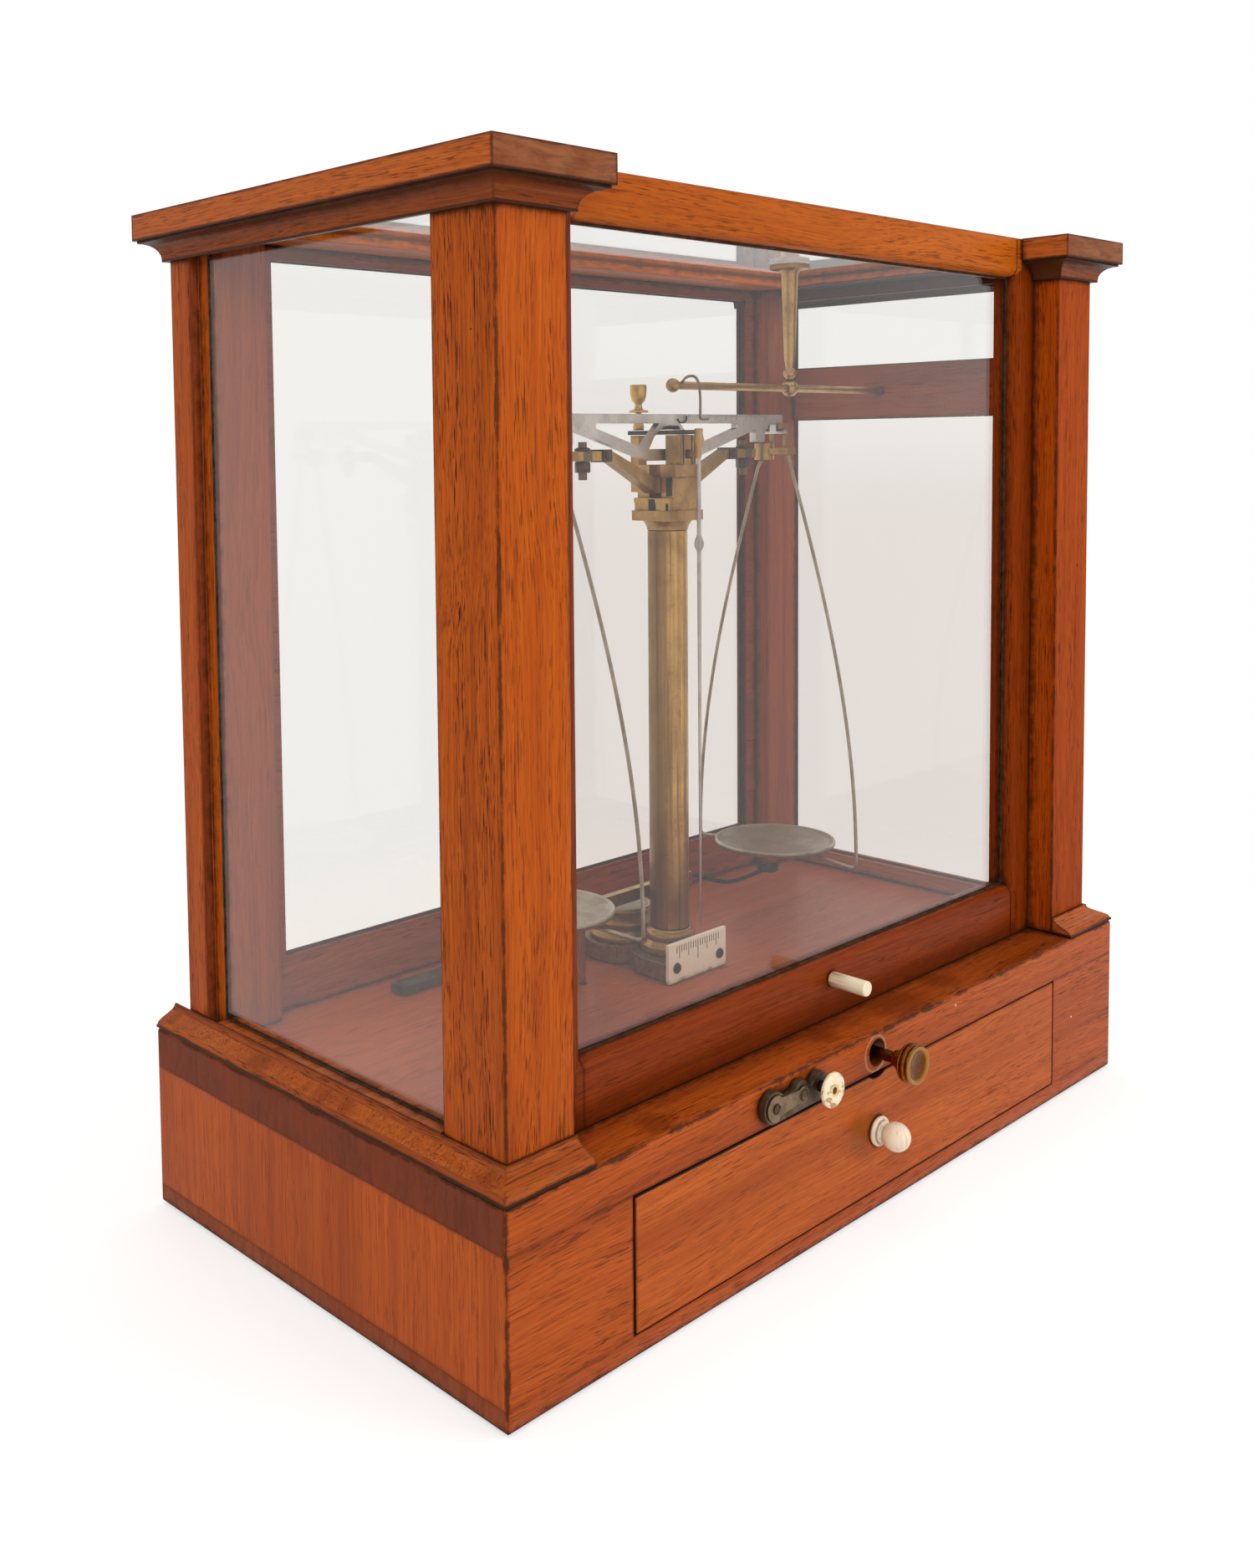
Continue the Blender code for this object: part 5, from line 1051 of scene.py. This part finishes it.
# button plate: a raised lighter face with a slotted screw and a round boss
plateShape = dict(front=-0.1168, rise=0.0009, end=(-0.0775, 0.0710), endRadius=0.0053, endArc=(42.0, 318.0),
                  boss=(-0.0595, 0.0712), bossRadius=0.0036, bossArc=(-130.0, 130.0), screwRadius=0.0021,
                  bossProfile=[(0.03, 0.0023), (0.45, 0.0021), (0.62, 0.0016), (0.66, 0.0009)])
shape = plateShape


# arc: middle + radius (cos a, sin a) between two angles in degrees
def arcLoop(middle, radius, angles, count):
    arc = np.linspace(*np.radians(angles), count)
    return np.stack([middle[0] + radius * np.cos(arc), middle[1] + radius * np.sin(arc)], 1)


outline = np.concatenate([arcLoop(shape["end"], shape["endRadius"], shape["endArc"], 30),
                          arcLoop(shape["boss"], shape["bossRadius"], shape["bossArc"], 22)])
face = shape["front"] - shape["rise"]
loft("button_plate_face", [slabGrid("y", outline, (face, shape["front"]))],
     shared["plateFace"], "case", edge=0.0003)
head, slot = screwGrids("y", shape["end"], shape["screwRadius"], face, -1, 1.0)
knob = [(share * shape["bossRadius"], shape["front"] - drop) for share, drop in shape["bossProfile"]]
loft("button_plate_screws", [head, turnedGrid("y", shape["boss"], knob, 24)], shared["bronze"], "case")
loft("button_plate_slot", [slot], inkAndShade, "case")

# arrest arms: dark clamps at the elbows, collars and nuts on the pins
clampShape = dict(x=0.0456, half=0.0029, front=0.0013, back=0.0097, low=0.3259, high=0.3317, pin=0.0580,
                  y=0.0055, screw=0.0017, screwHeight=0.3288, collar=0.0036, nut=0.0037,
                  collarProfile=[(0.8, 0.3308), (1.0, 0.3312), (1.0, 0.3322), (0.6, 0.3328)],
                  nutProfile=[(0.9, 0.3213), (1.0, 0.3217), (1.0, 0.3258), (0.9, 0.3264)])
shape = clampShape
grids = []
for sign in (-1, 1):
    x = sign * shape["x"]
    pin = (sign * shape["pin"], shape["y"])
    loop = boxLoop(x - shape["half"], shape["front"], x + shape["half"], shape["back"])
    grids.append(slabGrid("z", loop, (shape["low"], shape["high"])))
    grids.append(screwGrids("y", (x, shape["screwHeight"]), shape["screw"], shape["front"], -1, 0.3)[0])
    for key, sides in (("collar", 24), ("nut", 6)):
        turn = [(share * shape[key], height) for share, height in shape[key + "Profile"]]
        grids.append(turnedGrid("z", pin, turn, sides))
loft("arrest_arm_fittings", grids, shared["bronze"], "arrest_carriage", edge=0.0002)

# column head: ribs on the front of its upper cheek, dark slots in both sides of the slab, and on both sides
# of the lower cheek a dark sheet of painted shade
headShape = dict(front=-0.0075, proud=0.0005, ribLow=0.3242, ribTop=0.3376,
                 ribs=((-0.0054, -0.0042), (-0.0035, -0.0028), (0.0028, 0.0040), (0.0047, 0.0054)),
                 slots=((0.0109, 0.01142, 0.0036, 0.3024, 0.0074, 0.3078),
                        (0.0109, 0.01112, -0.0046, 0.3024, -0.0030, 0.3058),
                        (0.0084, 0.00862, -0.0048, 0.3094, -0.0012, 0.3180)))
shape = headShape
front = shape["front"]
grids = [slabGrid("y", boxLoop(start, shape["ribLow"], end, shape["ribTop"]), (front - shape["proud"], front))
         for start, end in shape["ribs"]]
loft("column_head_ribs", grids, shared["aged_brass"], "case", edge=0.0002)
# the last pair is painted shade on the lower cheek
grids = [slabGrid("x", boxLoop(*slot[2:]), sorted((sign * slot[0], sign * slot[1])))
         for slot in shape["slots"] for sign in (-1, 1)]
loft("column_head_slots_and_shade", grids, inkAndShade, "case")

# beam: graduations along the right half, and a small wire rider left on it
beamMarks = dict(front=0.0035, top=0.3479, start=0.0100, end=0.0760, pitch=0.0016, wide=0.00022,
                 short=0.0013, long=0.0024, thick=0.00004)
marks = beamMarks
places = np.arange(marks["start"], marks["end"], marks["pitch"])
lengths = np.where(np.arange(len(places)) % 5 == 0, marks["long"], marks["short"])
ticks = [slabGrid("y", boxLoop(x, marks["top"] - tall, x + marks["wide"], marks["top"]),
                  (marks["front"] - marks["thick"], marks["front"])) for x, tall in zip(places, lengths)]
loft("beam_graduations", ticks, inkAndShade, "beam_body")
wireRider = dict(middle=(0.0085, 0.0031, 0.3468), wide=0.0034, tall=0.0030, wire=0.00028, arc=(200.0, 365.0))
shape = wireRider
swing = np.linspace(*np.radians(shape["arc"]), 22)
scroll = np.stack([shape["middle"][0] + shape["wide"] * np.cos(swing), np.full(22, shape["middle"][1]),
                   shape["middle"][2] + shape["tall"] * np.sin(swing)], 1)
loft("beam_wire_rider", [wireGrid(scroll, shape["wire"], (0.0, 1.0, 0.0), 8)], shared["dark_steel"],
     "beam_body")

# level: turned cup with three beads, glass over it
levelShape = dict(axis=(0.0, 0.0360), radius=0.0122, base=0.1042, rise=0.0003, dome=0.0004,  # profile in mm
                  profile=[(0.2, 88.9), (16.5, 88.9), (16.5, 90.5), (15.6, 91.2), (14.2, 92.2), (13.6, 93.6),
                           (14.0, 95.0), (15.2, 95.8), (16.0, 96.6), (16.2, 97.6), (15.6, 98.6), (14.2, 99.2),
                           (13.2, 100.4), (13.2, 101.8), (14.2, 102.5), (14.8, 103.4), (14.4, 104.4),
                           (13.6, 104.9), (12.4, 104.6), (12.2, 104.2), (0.2, 104.2)])
shape = levelShape
loft("level_cup_turned", [turnedGrid("z", shape["axis"], np.array(shape["profile"]) / 1000.0, 64)],
     shared["aged_brass"], "case", ("level_cup",))
dome = np.linspace(0.0, math.radians(88.0), 8)
turn = list(zip(shape["radius"] * np.cos(dome), shape["base"] + shape["rise"] + shape["dome"] * np.sin(dome)))
loft("level_glass", [turnedGrid("z", shape["axis"], [(shape["radius"], shape["base"])] + turn, 48)],
     cloudFinish("level liquid", (0.20, 0.19, 0.10), (0.16, 0.15, 0.08), 0.06, 60.0), "case")

# a low dark strip lies on the floor behind the left pan
stripShape = dict(low=(-0.1180, 0.0640, 0.0794), high=(-0.0300, 0.0740, 0.0840))
shape = stripShape
loop = boxLoop(shape["low"][0], shape["low"][1], shape["high"][0], shape["high"][1])
loft("floor_strip", [slabGrid("z", loop, (shape["low"][2], shape["high"][2]))],
     cloudFinish("dark strip", (0.085, 0.066, 0.048), (0.055, 0.042, 0.030), 0.5, 160.0), "case",
     edge=0.0006)
print("fittings, marks and glazing made")


# camera as in the photograph
viewpoint = dict(yaw=42.87, pitch=-3.80, roll=-0.72, spot=(-0.5528, -0.4736, 0.3343), lens=34.877,
                 shift=(0.0803, -0.1518), sensor=36.0, nearest=0.01)
yaw, pitch, roll = (math.radians(viewpoint[key]) for key in ("yaw", "pitch", "roll"))
ahead = Vector((math.sin(yaw) * math.cos(pitch), math.cos(yaw) * math.cos(pitch), math.sin(pitch)))
across = Vector((math.cos(yaw), -math.sin(yaw), 0.0))
upward = across.cross(ahead)
camX = across * math.cos(roll) + upward * math.sin(roll)
camY = upward * math.cos(roll) - across * math.sin(roll)
cameraData = bpy.data.cameras.new("camera")
cameraData.sensor_width = viewpoint["sensor"]
cameraData.lens = viewpoint["lens"]
cameraData.shift_x, cameraData.shift_y = viewpoint["shift"]
cameraData.clip_start = viewpoint["nearest"]
camera = bpy.data.objects.new("camera", cameraData)
stand = Matrix((camX, camY, -ahead)).transposed().to_4x4()
stand.translation = viewpoint["spot"]
camera.matrix_world = stand
bpy.context.scene.collection.objects.link(camera)
bpy.context.scene.camera = camera

# soft studio light
studio = dict(light=0.62, tint=(1.0, 0.985, 0.97), white=(1.0, 1.0, 1.0), floorRadius=3.0, floorDrop=0.0006,
              floorSides=64, floorTone=(0.60, 0.59, 0.58), floorGlow=0.50, floorFade=(0.36, 0.62),
              bounce=(0.80, 0.80, 0.80))


# the camera's own rays, and those that metal and glass send on, see the white background
def seenRays(tree):
    rays = put(tree, "LightPath").outputs
    return calc(tree, "MAXIMUM", rays["Is Camera Ray"],
                calc(tree, "MAXIMUM", rays["Is Glossy Ray"], rays["Is Transmission Ray"]))


world = bpy.data.worlds.new("studio")
bpy.context.scene.world = world
world.use_nodes = True
sky = world.node_tree
sky.nodes.clear()
plain = put(sky, "Background", {"Color": rgb(studio["tint"]), "Strength": studio["light"]})
white = put(sky, "Background", {"Color": rgb(studio["white"]), "Strength": 1.0})
both = put(sky, "MixShader", {0: seenRays(sky), 1: plain.outputs[0], 2: white.outputs[0]})
skyOut = put(sky, "OutputWorld")
sky.links.new(both.outputs[0], skyOut.inputs["Surface"])

lamps = {
    "key": dict(spot=(-1.3, -1.1, 1.2), aim=(0.0, 0.0, 0.2), size=1.0, power=15.0),
    "fill": dict(spot=(0.9, -1.5, 0.9), aim=(0.0, 0.0, 0.2), size=1.0, power=10.0),
    "top": dict(spot=(0.0, 0.1, 1.7), aim=(0.0, 0.0, 0.3), size=1.1, power=6.5),
}
for name, lamp in lamps.items():
    data = bpy.data.lights.new(name, "AREA")
    data.size = lamp["size"]
    data.energy = lamp["power"]
    light = bpy.data.objects.new(name, data)
    light.visible_glossy = False
    light.visible_transmission = False
    light.location = lamp["spot"]
    light.rotation_euler = (Vector(lamp["aim"]) - Vector(lamp["spot"])).to_track_quat("-Z", "Y").to_euler()
    bpy.context.scene.collection.objects.link(light)

# floor: white to the camera, with the object's own soft shadow near it
sides = studio["floorSides"]
ring = np.linspace(0.0, 2 * math.pi, sides, endpoint=False)
disc = np.stack([studio["floorRadius"] * np.cos(ring), studio["floorRadius"] * np.sin(ring),
                 np.full(sides, -studio["floorDrop"])], 1)
floorMesh = bpy.data.meshes.new("floor")
floorMesh.from_pydata(disc.tolist(), [], [list(range(sides))])
floor = bpy.data.objects.new("floor", floorMesh)
bpy.context.scene.collection.objects.link(floor)
finish, tree, shader, spot = newFinish("studio floor")
away = put(tree, "VectorMath", {0: spot["Object"]}, operation="LENGTH").outputs["Value"]
near = put(tree, "BsdfDiffuse", {"Color": rgb(studio["floorTone"])})
glow = put(tree, "Emission", {"Color": rgb(studio["white"]), "Strength": studio["floorGlow"]})
close = put(tree, "AddShader", {0: near.outputs[0], 1: glow.outputs[0]})
far = put(tree, "Emission", {"Color": rgb(studio["white"]), "Strength": 1.0})
shown = put(tree, "MixShader", {0: ramp(tree, away, *studio["floorFade"]), 1: close.outputs[0],
                                2: far.outputs[0]})
bounce = put(tree, "BsdfDiffuse", {"Color": rgb(studio["bounce"])})
both = put(tree, "MixShader", {0: seenRays(tree), 1: bounce.outputs[0], 2: shown.outputs[0]})
tree.links.new(both.outputs[0], tree.nodes["Material Output"].inputs["Surface"])
floorMesh.materials.append(finish)
bpy.context.scene.view_settings.view_transform = "Standard"
print("camera, lamps and floor set")
